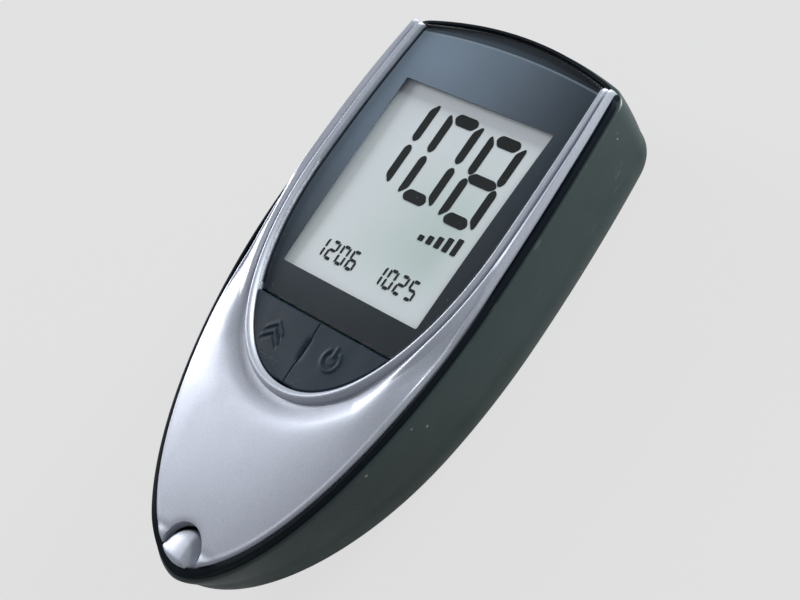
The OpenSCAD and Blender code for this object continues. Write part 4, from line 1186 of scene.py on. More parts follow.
    def sections(self) -> np.ndarray:
        """Closed upright sections through the cover, one for each ring point and side.

        Each section runs in from the outer edge over the face to the ring, down the
        pocket's wall, round the shelf, back out under the face and up the foot. The ribs'
        ends are rounded off as a quarter circle, and the left half mirrors the right one.
        """
        form = self.form
        points, normals = self.ring_half()
        span = self.reach(points, normals)[:, None]
        ring_y = points[:, 1:]
        s = np.clip((span - 3.0) / 9.0, 0.0, 1.0)
        w = self.rib_w + self.rib_grow * s
        cap = 1.0 - np.sqrt(1.0 - np.clip((ring_y - form.rib_end_y + 1.0) / 1.02, 0, 1) ** 2)
        rise = np.linspace(0.0, 1.0, 15)
        run = np.linspace(0.0, 1.0, 96)[1:] ** 1.3
        edge = (1.0 - np.sin(np.radians(np.linspace(0.0, 90.0, 9))))[1:]
        e = np.concatenate([w * rise, w + (span - self.edge_r - w) * run,
                            span - self.edge_r * edge], axis=1)
        q = points[:, None] + e[..., None] * normals[:, None]
        z = form.arc_z(q[..., 1]) + self.face(e, span, ring_y) - self.end_round * cap
        z = z + self.nose_shape(q[..., 0], q[..., 1])
        top = np.concatenate([q, z[..., None]], axis=-1)[:, ::-1]
        self.face_count = top.shape[1]
        at_lens = ring_y > form.split_y + 1.0
        pocket = np.where(at_lens, self.lens_pocket + 0.25 * cap, self.key_pocket)
        shelf = np.where(at_lens, self.shelf, self.key_shelf)
        foot = np.maximum(span - self.thickness, span / 2)
        foot_z = form.seat_z((points + span * normals)[:, 1:]) + self.foot_gap
        rows = []
        for out, drop in ((0 * span, pocket), (-shelf, pocket), (-shelf, pocket + self.shelf_t),
                          (0 * span, pocket + self.shelf_t)):
            p = points + out * normals
            rows.append(np.concatenate([p, form.arc_z(p[:, 1:]) - drop], axis=1))
        for share in (0.5, 1.0):
            p = points + share * foot * normals
            under = form.arc_z(p[:, 1:]) + self.face(share * foot, span, ring_y) - self.skin_t
            rows.append(np.concatenate([p, np.maximum(under, foot_z)], axis=1))
        p = points + foot * normals
        rows.append(np.concatenate([p, foot_z], axis=1))
        p = points + span * normals
        rows.append(np.concatenate([p, foot_z], axis=1))
        # The two last rows climb the outer wall; the seam's painted shade stops between them.
        for drop in (2.0, 1.0):
            rows.append(np.concatenate([p, top[:, 0, 2:] - drop * self.seam_shade_from], axis=1))
        right = np.concatenate([top, np.stack(rows, axis=1)], axis=1)
        left = right[:0:-1] * np.array([-1.0, 1.0, 1.0])
        return np.concatenate([left, right])

    def notch_cutter(self) -> bpy.types.Object:
        """U-shaped cutter of the notch, flared a little towards its top."""
        form = self.form
        a = np.radians(np.linspace(0.0, 180.0, 61))
        loops = []
        for z, grow in ((10.0, 0.0), (15.2, 0.0), (16.2, 0.05), (17.0, 0.15), (19.0, 0.45)):
            r = form.notch_half + grow
            arc = np.stack([r * np.cos(a), form.notch_y + r * np.sin(a)], axis=-1)
            foot = np.array([[-r, form.nose_y - 2.0], [r, form.nose_y - 2.0]])
            loop = np.concatenate([arc, foot])
            loops.append(np.column_stack([loop, np.full(len(loop), z)]))
        grid = np.stack(loops)
        return Skin().add_bar(grid).build("cutter")

    def build(self) -> bpy.types.Object:
        """Builds the swept shell, closes its ends and cuts the notch."""
        rows = self.sections()
        # Painted shade: all rows after the face but the last get the near-black seam colour, so the
        # outer wall under the rounded edge stands dark.
        seam_shade = np.zeros(rows.shape[1])
        seam_shade[self.face_count:-1] = 1.0
        skin = Skin().add_bar(rows, seam_shade)
        cover = skin.build("front_shell", self.wardrobe.get(SILVER), 38.0)
        carve(cover, self.notch_cutter(), 38.0)
        return settle(cover, "case", "silver_plastic", "front_cover")


@dataclass
class Window:
    """Lens and printed mask."""

    form: MeterForm
    wardrobe: Wardrobe
    lens_t: float = 1.3
    gap: float = 0.15
    end_y: float = 48.95
    turn: float = 2.5
    crease_bow: float = 1.1
    turn_drop: float = 0.95
    edge_r: float = 0.22
    low_half: float = 15.9
    top_half: float = 16.6
    y0: float = 0.3
    y1: float = 36.3
    corner: float = 0.35

    def rows(self, inset: float, sink: float, cols: int = 61) -> np.ndarray:
        """Grid of the lens's face: it follows the front arc and turns down past a crease.

        Args:
            inset: How far its border is drawn in.
            sink: How far it lies under the front arc.
            cols: Columns across it.

        Returns:
            Grid of shape (rows, cols, 3).
        """
        form = self.form
        y_last = self.end_y - inset
        y1 = y_last - self.turn - self.crease_bow
        u = np.linspace(-1.0, 1.0, cols)
        t = np.linspace(0.0, 1.0, 90)[:, None]
        y = mix(form.split_y + self.gap, y1, t)
        w = form.ring_x(y) - self.gap - inset
        bent = y + smooth((t - 0.66) / 0.34) * self.crease_bow * (1 - u * u)
        flat = np.stack([u * w, bent, form.arc_z(bent) - sink], axis=-1)
        t = np.linspace(0.0, 1.0, 25)[1:, None]
        w = form.ring_x(np.array(y1)) - self.gap - inset
        bow = form.end_bow * (w / form.side_x(np.array(form.end_y - form.end_bow), 0, 0)) ** 2
        bent = mix(y1 + self.crease_bow * (1 - u * u), y_last - bow * u * u, t)
        fall = self.turn_drop * (0.25 * t + 0.75 * t ** 1.9)
        x = np.broadcast_to(u * w, bent.shape)
        turned = np.stack([x, bent, form.arc_z(bent) - sink - fall], axis=-1)
        return np.concatenate([flat, turned])

    def sheet(self, inset: float, sink: float, thickness: float, edge_r: float) -> Skin:
        """Closed sheet under such a grid, with rounded upper edges and marked walls.

        Args:
            inset: How far its border is drawn in.
            sink: How far its face lies under the arc.
            thickness: Its thickness.
            edge_r: Radius of its upper edge.

        Returns:
            The skin, ready to build.
        """
        skin = Skin()
        loops = []
        for a in arc_steps(5):
            rim = self.rows(inset + edge_r * (1 - math.cos(a)), sink + edge_r * (1 - math.sin(a)))
            loops.append(border(rim))
        low = self.rows(inset, sink + thickness)
        loops.insert(0, border(low))
        marks = np.array([0.9, 0.8, 0.6, 0.4, 0.2, 0.0])[:, None]
        skin.add(np.stack(loops), wrap=True, mark=marks)
        skin.add(self.rows(inset + edge_r, sink))
        skin.add(low)
        return skin

    def window_cutter(self) -> bpy.types.Object:
        """Upright prism through the window, with small round corners."""
        corners = np.array([(-self.low_half, self.y0), (self.low_half, self.y0),
                            (self.top_half, self.y1), (-self.top_half, self.y1)])
        a = np.linspace(0.0, 0.5 * math.pi, 6)
        ring = []
        for k, turn in enumerate((math.pi, 1.5 * math.pi, 0.0, 0.5 * math.pi)):
            inward = np.sign(np.array([0.0, (self.y0 + self.y1) / 2]) - corners[k])
            middle = corners[k] + inward * self.corner
            ring.append(middle + self.corner * np.stack([np.cos(a + turn), np.sin(a + turn)], -1))
        loop = np.concatenate(ring)
        grid = np.stack([np.column_stack([loop, np.full(len(loop), z)]) for z in (16.5, 21.0)])
        return Skin().add_bar(grid).build("cutter")

    def build_lens(self) -> bpy.types.Object:
        """Builds the clear lens."""
        lens = self.sheet(0.0, 0.0, self.lens_t, self.edge_r).build(
            "window_lens", self.wardrobe.clear_lens(), 60.0)
        return settle(lens, "case", "lens", "display_lens")

    def build_mask(self) -> bpy.types.Object:
        """Builds the printed mask behind the lens."""
        mask = self.sheet(0.06, self.lens_t + 0.02, 0.16, 0.02).build(
            "mask_print_painted_light", self.wardrobe.mask_print_painted_light(), 60.0)
        carve(mask, self.window_cutter(), 60.0)
        return settle(mask, "case", "mask", "display_mask")


class Stroke(Enum):
    """Strokes of a seven-part figure, with the place of each."""

    TOP = "a"
    UPPER_RIGHT = "b"
    LOWER_RIGHT = "c"
    BOTTOM = "d"
    LOWER_LEFT = "e"
    UPPER_LEFT = "f"
    MIDDLE = "g"


@dataclass
class Figures:
    """Dark figures on the face of the display, each made of up to seven strokes."""

    form: MeterForm
    wardrobe: Wardrobe
    big: tuple[float, float, float] = (8.0, 16.2, 1.6)
    big_y: float = 25.95
    big_x: tuple[float, ...] = (-11.35, -0.8, 9.1)
    small: tuple[float, float, float] = (1.9, 3.5, 0.42)
    small_y: float = 5.4
    left_x: float = -11.4
    right_x: float = 2.4
    small_pitch: float = 2.5
    thickness: float = 0.06
    turn: float = 0.07
    bars: tuple[float, ...] = (1.0, 1.5, 2.0, 2.5, 3.0)
    bar_x: float = 5.2
    bar_y: float = 12.9
    bar_w: float = 1.15
    bar_pitch: float = 1.8
    bar_corner: float = 0.15

    def strokes(self, value: int) -> str:
        """Letters of the strokes that are on for a digit."""
        return ("abcdef", "bc", "abged", "abgcd", "fgbc", "afgcd", "afgedc", "abc", "abcdefg",
                "abcdfg")[value]

    def outline(self, stroke: Stroke, w: float, h: float, s: float) -> np.ndarray:
        """Corners of one stroke round the figure's middle.

        Level strokes are short lozenges between the uprights, and each upright is a slim
        bar with one pointed inner end and one slanted outer end.

        Args:
            stroke: Which stroke.
            w: Width of the figure.
            h: Height of the figure.
            s: Thickness of its strokes.

        Returns:
            Corners of shape (6, 2), once round.
        """
        half, top = w / 2, h / 2
        if stroke is Stroke.MIDDLE:
            tip, flat, thick = half - 0.5 * s, half - 1.15 * s, 0.58 * s
            return np.array([(-tip, 0.0), (-flat, thick), (flat, thick), (tip, 0.0),
                             (flat, -thick), (-flat, -thick)])
        if stroke in (Stroke.TOP, Stroke.BOTTOM):
            cap = np.array([(-half + 0.85 * s, top - 0.5 * s), (-half + 1.3 * s, top + 0.1 * s),
                            (half - 1.3 * s, top + 0.1 * s), (half - 0.85 * s, top - 0.5 * s),
                            (half - 1.4 * s, top - 1.2 * s), (-half + 1.4 * s, top - 1.2 * s)])
            return cap if stroke is Stroke.TOP else cap * (1, -1)
        post = np.array([(half - 0.22 * s, top - 0.3 * s), (half, top - 0.62 * s),
                         (half, 0.62 * s), (half - 0.5 * s, 0.13 * s),
                         (half - s, 0.6 * s), (half - s, top - 1.15 * s)])
        if stroke in (Stroke.UPPER_LEFT, Stroke.LOWER_LEFT):
            post = post * (-1, 1)
        if stroke in (Stroke.LOWER_RIGHT, Stroke.LOWER_LEFT):
            post = post * (1, -1)
        return post

    def soften(self, corners: np.ndarray, size: float) -> np.ndarray:
        """Cuts every corner twice, first by size and then by a third of it.

        Args:
            corners: Corners of a flat shape, once round.
            size: Length that the first cut takes.

        Returns:
            The softened outline, with four times as many points.
        """
        for cut in (size, size / 3.0):
            after = np.roll(corners, -1, axis=0)
            length = np.linalg.norm(after - corners, axis=1, keepdims=True)
            share = np.minimum(cut / length, 0.3)
            pair = np.stack([mix(corners, after, share), mix(after, corners, share)], axis=1)
            corners = pair.reshape(-1, 2)
        return corners

    def add_plate(self, skin: Skin, corners: np.ndarray, x: float, y: float,
                  size: float) -> None:
        """Adds a thin closed plate round (x, y), with its corners cut by size.

        Args:
            skin: Skin that it is added to.
            corners: Its corners round (0, 0).
            x: Its place across the display.
            y: Its place along the display.
            size: How much its corners are cut.
        """
        loop = self.soften(corners, size) + (x, y)
        low, high = self.form.panel_z + 0.005, self.form.panel_z + self.thickness
        grid = np.stack([np.column_stack([loop, np.full(len(loop), z)]) for z in (low, high)])
        skin.add_bar(grid)

    def add_digit(self, skin: Skin, value: int, x: float, y: float,
                  size: tuple[float, float, float]) -> None:
        """Adds one digit with its middle at (x, y)."""
        for letter in self.strokes(value):
            self.add_plate(skin, self.outline(Stroke(letter), *size), x, y, 0.17 * size[2])

    def build(self) -> bpy.types.Object:
        """Builds the value, two small rows and a row of rising bars."""
        skin = Skin()
        for value, x in zip((1, 0, 8), self.big_x):
            self.add_digit(skin, value, x, self.big_y - self.turn * x, self.big)
        for first, values in ((self.left_x, (1, 2, 0, 6)), (self.right_x, (1, 0, 2, 5))):
            for k, value in enumerate(values):
                self.add_digit(skin, value, first + self.small_pitch * k, self.small_y, self.small)
        for k, h in enumerate(self.bars):
            w = self.bar_w / 2
            box = np.array([(-w, 0.0), (w, 0.0), (w, h), (-w, h)])
            self.add_plate(skin, box, self.bar_x + self.bar_pitch * k, self.bar_y,
                           self.bar_corner)
        figures = skin.build("display_figures", self.wardrobe.get(INK), 30.0)
        return settle(figures, "case", "lcd_ink", "lcd_digits")


@dataclass
class Keys:
    """Two key caps that fill the arch below the lens, each with a raised mark."""

    form: MeterForm
    wardrobe: Wardrobe
    low_y: float = -16.62
    gap: float = 0.16
    middle_gap: float = 0.05
    sink: float = 0.3
    thickness: float = 1.35
    edge_r: float = 0.3
    stem_x: float = 6.4
    stem_y: float = -10.4
    stem: tuple[float, float] = (1.5, 17.23)
    post: tuple[float, float] = (0.8, 15.8)
    post_off: float = 3.9
    left_mark_x: float = 7.4
    right_mark_x: float = 6.0
    mark_y: float = -10.1
    mark_rise: float = 0.16
    mark_sink: float = 0.1
    ring_r: float = 1.75

    def grid(self, inset: float, drop: float) -> np.ndarray:
        """Grid over the right cap: rows run up from the arch, columns out from the middle.

        Args:
            inset: How far its border is drawn in.
            drop: How far it lies under the cap's face.

        Returns:
            Grid of shape (76, 81, 3).
        """
        form = self.form
        t = np.linspace(0.0, 1.0, 76)[:, None]
        y = mix(self.low_y + inset, form.split_y - self.gap - inset, t ** 1.5)
        u = np.linspace(0.0, 1.0, 81)
        edge = form.ring_x(y, self.gap + inset)
        x = mix(self.middle_gap + inset * 0.5, np.maximum(edge, self.middle_gap + inset * 0.5), u)
        y = np.broadcast_to(y, x.shape)
        return np.stack([x, y, form.arc_z(y) - self.sink - drop], axis=-1)

    def groove(self, x: np.ndarray, y: np.ndarray) -> np.ndarray:
        """Soft valley between the two caps, deepest in its upper half."""
        along = smooth((y + 13.6) / 2.5) * smooth((-7.9 - y) / 1.6)
        return 0.24 * along * np.exp(-(np.abs(x) / 0.42) ** 1.5)

    def chevrons(self, x: np.ndarray, y: np.ndarray) -> np.ndarray:
        """Two nested chevrons that point up, as raised and sunk bands.

        Args:
            x: Places across the cap.
            y: Places along the cap.

        Returns:
            Rise of the face at each point.
        """
        height = 0.0 * x
        for shift in (0.0, -1.5):
            off = (y - self.mark_y - shift) + 0.75 * np.abs(x - self.left_mark_x) - 1.2
            inside = smooth((2.3 - np.abs(x - self.left_mark_x)) / 0.5)
            height = height + inside * (self.mark_rise * bump_at(off, 0.0, 0.32)
                                        - self.mark_sink * bump_at(off, -0.62, 0.3))
        return height

    def open_ring(self, x: np.ndarray, y: np.ndarray) -> np.ndarray:
        """A ring open at its top with a short bar in the opening.

        Args:
            x: Places across the cap.
            y: Places along the cap.

        Returns:
            Rise of the face at each point.
        """
        dx, dy = x - self.right_mark_x, y - self.mark_y
        r = np.hypot(dx, dy)
        opening = smooth((np.abs(np.arctan2(dx, dy)) - 0.45) / 0.25)
        band = self.mark_rise * bump_at(r, self.ring_r, 0.33)
        band = band - self.mark_sink * bump_at(r, self.ring_r - 0.6, 0.3)
        bar = self.mark_rise * bump_at(dx, 0.0, 0.3) * smooth((dy - 0.3) / 0.3)
        bar = bar * smooth((2.5 - dy) / 0.3)
        return band * opening + bar

    def cap(self, name: str, mark: Callable[[np.ndarray, np.ndarray], np.ndarray],
            side: int) -> bpy.types.Object:
        """Builds one cap with its stem and two guide posts.

        Args:
            name: Name of the piece.
            mark: Height of its mark at x and y.
            side: 1 for the right key and -1 for the left one.

        Returns:
            The key.
        """
        loops = [border(self.grid(0.0, self.thickness))]
        for a in arc_steps(6):
            loops.append(border(self.grid(self.edge_r * (1 - math.cos(a)),
                                          self.edge_r * (1 - math.sin(a)))))
        top = self.grid(self.edge_r, 0.0)
        x, y = top[..., 0], top[..., 1]
        top[..., 2] += mark(x, y) - self.groove(x, y)
        loops[-1] = border(top)
        skin = Skin().add(np.stack(loops), wrap=True).add(top)
        skin.add(self.grid(0.0, self.thickness))
        high = float(self.form.arc_z(np.array(self.stem_y))) - self.sink - self.thickness + 0.3
        for off, r, low in ((0.0, *self.stem), (-self.post_off, *self.post),
                            (self.post_off, *self.post)):
            steps = [(0.0, low), (r - 0.12, low), (r, low + 0.12), (r, high), (0.0, high)]
            skin.add(lathe(steps, (self.stem_x + off, self.stem_y, 0.0), sides=32), wrap=True)
        if side < 0:
            skin.points = [p * (-1.0, 1.0, 1.0) for p in skin.points]
        return skin.build(name, self.wardrobe.get(SLATE), 45.0)

    def build(self) -> None:
        """Builds both keys on their own bodies."""
        left = self.cap("left_key_cap", self.chevrons, -1)
        settle(left, "left_key", "key_plastic", "left_key")
        right = self.cap("right_key_cap", self.open_ring, 1)
        settle(right, "right_key", "key_plastic", "right_key")


@dataclass
class StripPort:
    """Domed tongue in the notch, which guides the strip into its slot."""

    form: MeterForm
    wardrobe: Wardrobe
    gap: float = 0.3
    edge_in: float = 1.08
    low: float = 13.4
    crown: float = 16.2
    edge_r: float = 0.25

    def half(self, inset: float) -> np.ndarray:
        """Right half of the tongue's outline, from the nose to its apex.

        It runs along the case's outline to the notch's straight side, up that side and
        round the notch's arc, all drawn in by inset.

        Args:
            inset: How far the outline is drawn in.

        Returns:
            Points of shape (count, 2).
        """
        form = self.form
        r = form.notch_half - self.gap - inset
        nose = self.edge_in + form.nose_rim - form.nose_lap + inset
        x = np.linspace(0.0, r, 24)
        bottom = self.solve_nose(x, nose)
        side = np.linspace((r, bottom[-1]), (r, form.notch_y), 8)[1:-1]
        a = np.radians(np.linspace(0.0, 90.0, 26))
        arc = np.stack([r * np.cos(a), form.notch_y + r * np.sin(a)], axis=-1)
        return np.concatenate([np.column_stack([x, bottom]), side, arc])

    def solve_nose(self, x: np.ndarray, nose: float) -> np.ndarray:
        """Lowest y at which the nose's outline, drawn in by nose, is as wide as x."""
        form = self.form
        share = (x / (form.half_width - self.edge_in)) ** (1.0 / form.nose_power)
        return form.widest_y - (form.widest_y - form.nose_y - nose) * np.sqrt(1.0 - share)

    def face(self, x: np.ndarray, y: np.ndarray) -> np.ndarray:
        """Domed face with a fold: past it the right side falls, and the apex dips to the slot.

        Args:
            x: Places across the tongue.
            y: Places along the tongue.

        Returns:
            Height at each point.
        """
        dome = self.crown - 0.028 * x * x - 0.035 * (y + 46.6) ** 2
        fold = -0.21 * np.log1p(np.exp((x - 1.45 + 0.12 * (y + 46.0)) / 0.2))
        away = np.hypot(x, y - self.form.notch_y)
        dip = -0.7 * smooth((away - 3.55) / 0.6) * smooth((y + 46.6) / 1.5)
        front = -0.5 * smooth((-46.9 - y) / 1.6) * smooth((-46.9 - y) / 1.6)
        return dome + fold + dip + front

    def build(self) -> bpy.types.Object:
        """Builds the tongue as a ladder under its face, with a rounded rim."""
        base = self.half(0.0)
        loops = [self.form.full_loop(base, np.full(len(base), self.low))]
        for a in arc_steps(5):
            half = self.half(self.edge_r * (1 - math.cos(a)))
            loop = self.form.full_loop(half, half[:, 0])
            loop[:, 2] = self.face(loop[:, 0], loop[:, 1]) - self.edge_r * (1 - math.sin(a))
            loops.append(loop)
        skin = Skin().add(np.stack(loops), wrap=True)
        skin.add(self.form.ladder(self.half(self.edge_r), self.face, 40))
        skin.add(self.form.ladder(base, lambda x, y: np.full(x.shape, self.low), 4))
        tongue = skin.build("strip_tongue", self.wardrobe.get(SILVER), 50.0)
        return settle(tongue, "case", "silver_plastic", "strip_port_guide")


@dataclass
class BatteryDoor:
    """Sliding door in the back, with rails, grip ribs and an arrow."""

    form: MeterForm
    wardrobe: Wardrobe
    low: float = 0.15
    edge_r: float = 0.3
    ribs: int = 5
    rib_y: float = 33.5
    rib_pitch: float = 2.0
    rib_half: float = 6.0
    rib_depth: float = 0.45
    arrow_y: float = 26.0
    arrow_half: float = 2.8
    shaft_half: float = 1.0
    arrow_depth: float = 0.25

    def end_at(self, x: np.ndarray, z: np.ndarray) -> np.ndarray:
        """Where the case's rounded lower edge ends the door, at x and z.

        Args:
            x: Places across the door.
            z: Heights.

        Returns:
            y of the door's end at each place.
        """
        form = self.form
        cos_a = np.clip(1.0 - z / form.round_h, -1.0, 1.0)
        inset = form.draft + form.round_w * (1.0 - np.sqrt(1.0 - cos_a ** 2))
        yc = form.end_y - form.end_bow - inset
        xc = form.side_x(form.end_y - form.end_bow + 0.0 * x, 0.0, 0.0) - inset
        return yc + form.end_bow * (1.0 - (x / xc) ** 2)

    def relief(self, x: np.ndarray, y: np.ndarray) -> np.ndarray:
        """Depth of the grip grooves and of the arrow at x and y.

        Args:
            x: Places across the door.
            y: Places along the door.

        Returns:
            Depth at each point.
        """
        depth = 0.0 * x
        for k in range(self.ribs):
            middle = self.rib_y + self.rib_pitch * k
            inside = smooth((self.rib_half - np.abs(x)) / 0.5)
            groove = smooth((0.62 - np.abs(y - middle)) / 0.28)
            depth = depth + self.rib_depth * inside * groove
        tip = self.arrow_y + 2.2 - np.abs(x) * 0.75
        head = smooth((tip - y) / 0.25) * smooth((y - self.arrow_y + 0.2) / 0.25)
        head = head * smooth((self.arrow_half - np.abs(x)) / 0.25)
        shaft = smooth((self.shaft_half - np.abs(x)) / 0.25)
        shaft = shaft * smooth((y - self.arrow_y + 3.6) / 0.25)
        shaft = shaft * smooth((self.arrow_y - y) / 0.25)
        return depth + self.arrow_depth * np.maximum(head, shaft)

    def build(self) -> bpy.types.Object:
        """Builds the door from closed upright sections across X."""
        form = self.form
        panel = np.concatenate([[0.1, 0.22, 0.4], np.linspace(0.6, 13.1, 52),
                                form.door_half - np.array([0.25, 0.12, 0.03, 0.0])])
        rail = form.door_half + np.array([0.005, 0.5, 1.0, form.door_rail])
        right = np.concatenate([panel, rail])
        xs = np.concatenate([-right[::-1], [0.0], right])
        t = np.linspace(0.0, 1.0, 260)
        rows = []
        for x in xs:
            ax = abs(x)
            on_rail = ax > form.door_half
            low = form.door_top - form.door_rail_t if on_rail else self.low
            side = np.clip((ax - (form.door_half - self.edge_r)) / self.edge_r, 0.0, 1.0)
            lift = 0.0 if on_rail else self.edge_r * (1.0 - math.sqrt(max(0.0, 1.0 - side ** 2)))
            z0 = low + lift
            end_low = float(self.end_at(np.array(x), np.array(z0)))
            y = mix(form.door_y + self.edge_r, end_low - 0.2, t)
            z = np.full(y.shape, z0)
            if not on_rail:
                z = z + self.relief(np.full(y.shape, x), y) * (lift < 0.05)
            a = arc_steps(6)[::-1]
            foot_y = form.door_y + self.edge_r * (1 - np.sin(a[::-1]))
            foot_z = z0 + min(self.edge_r, (form.door_top - z0) / 2) * (1 - np.cos(a[::-1]))
            rise = np.linspace(0.0, 1.0, 8)
            end_z = mix(z0 + 0.12, form.door_top - 0.05, rise)
            end_y = self.end_at(np.full(8, x), end_z) - 0.03
            end_top = self.end_at(np.array(x), np.array(form.door_top))
            back_y = np.array([end_top - 0.1, form.door_y + 0.1])
            section = np.concatenate([
                np.column_stack([foot_y[::-1], foot_z[::-1]]),
                np.column_stack([y[1:], z[1:]]), np.column_stack([end_y, end_z]),
                np.column_stack([back_y, np.full(2, form.door_top)])])
            rows.append(np.column_stack([np.full(len(section), x), section]))
        grid = np.stack(rows)
        door = Skin().add_bar(grid).build("door_panel", self.wardrobe.get(CHARCOAL), 35.0)
        return settle(door, "battery_door", "case_plastic", "battery_door")


@dataclass
class Cells:
    """Two plain cells and the springs that press on them."""

    form: MeterForm
    wardrobe: Wardrobe
    button_r: float = 1.9
    length: float = 44.5
    button: float = 1.2
    contact_t: float = 0.4
    room: float = 3.6
    wire: float = 0.5
    turns: float = 2.5
    foot_r: float = 3.2
    tip_r: float = 2.2

    def profile(self) -> list[tuple[float, float]]:
        """Sleeve, crimped shoulders, insulating ring and button, from the flat end up."""
        r, body = self.form.cell_r, self.length - self.button
        return [(0.0, 0.02), (3.4, 0.02), (3.5, 0.3), (4.4, 0.3), (4.6, 0.0), (r - 0.35, 0.0),
                (r - 0.12, 0.1), (r - 0.02, 0.35), (r, 0.9), (r, 3.0), (r - 0.03, 3.05),
                (r - 0.03, 3.35), (r, 3.4), (r, body - 2.4), (r - 0.02, body - 1.2),
                (r - 0.15, body - 0.6), (r - 0.45, body - 0.2), (r - 0.9, body), (3.6, body - 0.05),
                (3.3, body - 0.25), (self.button_r + 0.5, body - 0.25), (self.button_r + 0.15,
                body), (self.button_r, body + 0.2), (self.button_r, self.length - 0.25),
                (self.button_r - 0.2, self.length), (0.0, self.length)]

    def cell(self, side: int) -> bpy.types.Object:
        """Builds one cell; the right one points the other way.

        Args:
            side: 1 for the right cell and -1 for the left one.

        Returns:
            The cell.
        """
        steps = self.profile()
        start = self.form.bay_y0 + self.contact_t + self.room
        if side > 0:
            start = self.form.bay_y0 + self.form.bay_y1 - start
            steps = [(r, -h) for r, h in steps]
        middle = (side * self.form.cell_x, start, self.form.cell_z)
        skin = Skin().add(lathe(steps, middle, "y", 72), wrap=True)
        name = "right_cell_can" if side > 0 else "left_cell_can"
        return skin.build(name, self.sleeve(side), 40.0)

    def sleeve(self, side: int) -> bpy.types.Material:
        """Plain sleeve in two tones with bare steel ends.

        Args:
            side: 1 for the right cell and -1 for the left one.

        Returns:
            The material of that cell.
        """
        sheet, material = new_material("cell_sleeve_" + ("right" if side > 0 else "left"))
        effects = self.wardrobe.effects
        x, y, z = sheet.axes(sheet.object_place())
        start = self.form.bay_y0 + self.contact_t + self.room
        along = sheet.math("SUBTRACT", y, start * MM)
        if side > 0:
            along = sheet.math("SUBTRACT", (self.form.bay_y0 + self.form.bay_y1 - start) * MM, y)
        dx = sheet.math("SUBTRACT", x, side * self.form.cell_x * MM)
        dz = sheet.math("SUBTRACT", z, self.form.cell_z * MM)
        r = sheet.math("SQRT", sheet.plus(sheet.times(dx, dx), sheet.times(dz, dz)))
        on_side = sheet.math("GREATER_THAN", r, (self.form.cell_r - 0.3) * MM)
        band = sheet.math("GREATER_THAN", along, 31.0 * MM)
        marks = effects.use(sheet, "handling_marks", Scale=200.0)
        grain = effects.use(sheet, Pattern.BRUSHED.value, Scale=2600.0)
        print_color = sheet.blend(band, (0.055, 0.085, 0.13, 1.0), (0.42, 0.30, 0.16, 1.0))
        color = sheet.blend(on_side, (0.62, 0.62, 0.60, 1.0), print_color)
        color = sheet.blend(sheet.times(marks.outputs["Scratch"], 0.4), color,
                            (0.5, 0.5, 0.5, 1.0))
        rough = sheet.plus(sheet.times(marks.outputs["Smudge"], 0.12), 0.28)
        metal = sheet.span(on_side, 0.0, 1.0, 1.0, 0.35)
        sheet.finish(sheet.principled(color, rough, Metallic=metal,
                                      Normal=sheet.bump(grain.outputs["Height"], 0.003)))
        return material

    def spring(self, side: int) -> np.ndarray:
        """Tapered helix of round wire whose foot lies on its contact plate.

        Args:
            side: 1 for the right cell's spring and -1 for the left one's.

        Returns:
            Grid of rings round the wire, of shape (steps, sides, 3).
        """
        steps, sides = 150, 12
        t = np.linspace(0.0, 1.0, steps)[:, None]
        turn = 2 * math.pi * self.turns * t
        b = np.linspace(0.0, 2 * math.pi, sides, endpoint=False)
        r = mix(self.foot_r, self.tip_r, t) + self.wire / 2 * np.cos(b)
        rise = mix(self.wire / 2 + 0.05, self.room - self.wire / 2 - 0.05, t)
        y = self.contact_t + rise + self.wire / 2 * np.sin(b)
        y = self.form.bay_y0 + y if side < 0 else self.form.bay_y1 - y
        return np.stack([side * self.form.cell_x + r * np.cos(turn), y,
                         self.form.cell_z + r * np.sin(turn)], -1)

    def build(self) -> None:
        """Builds both cells and both springs."""
        settle(self.cell(-1), "case", "cell_can", "left_cell")
        settle(self.cell(1), "case", "cell_can", "right_cell")
        skin = Skin()
        for side in (-1, 1):
            skin.add_bar(self.spring(side))
        springs = skin.build("battery_springs", self.wardrobe.get(NICKEL), 60.0)
        settle(springs, "case", "nickel", "contact_springs")


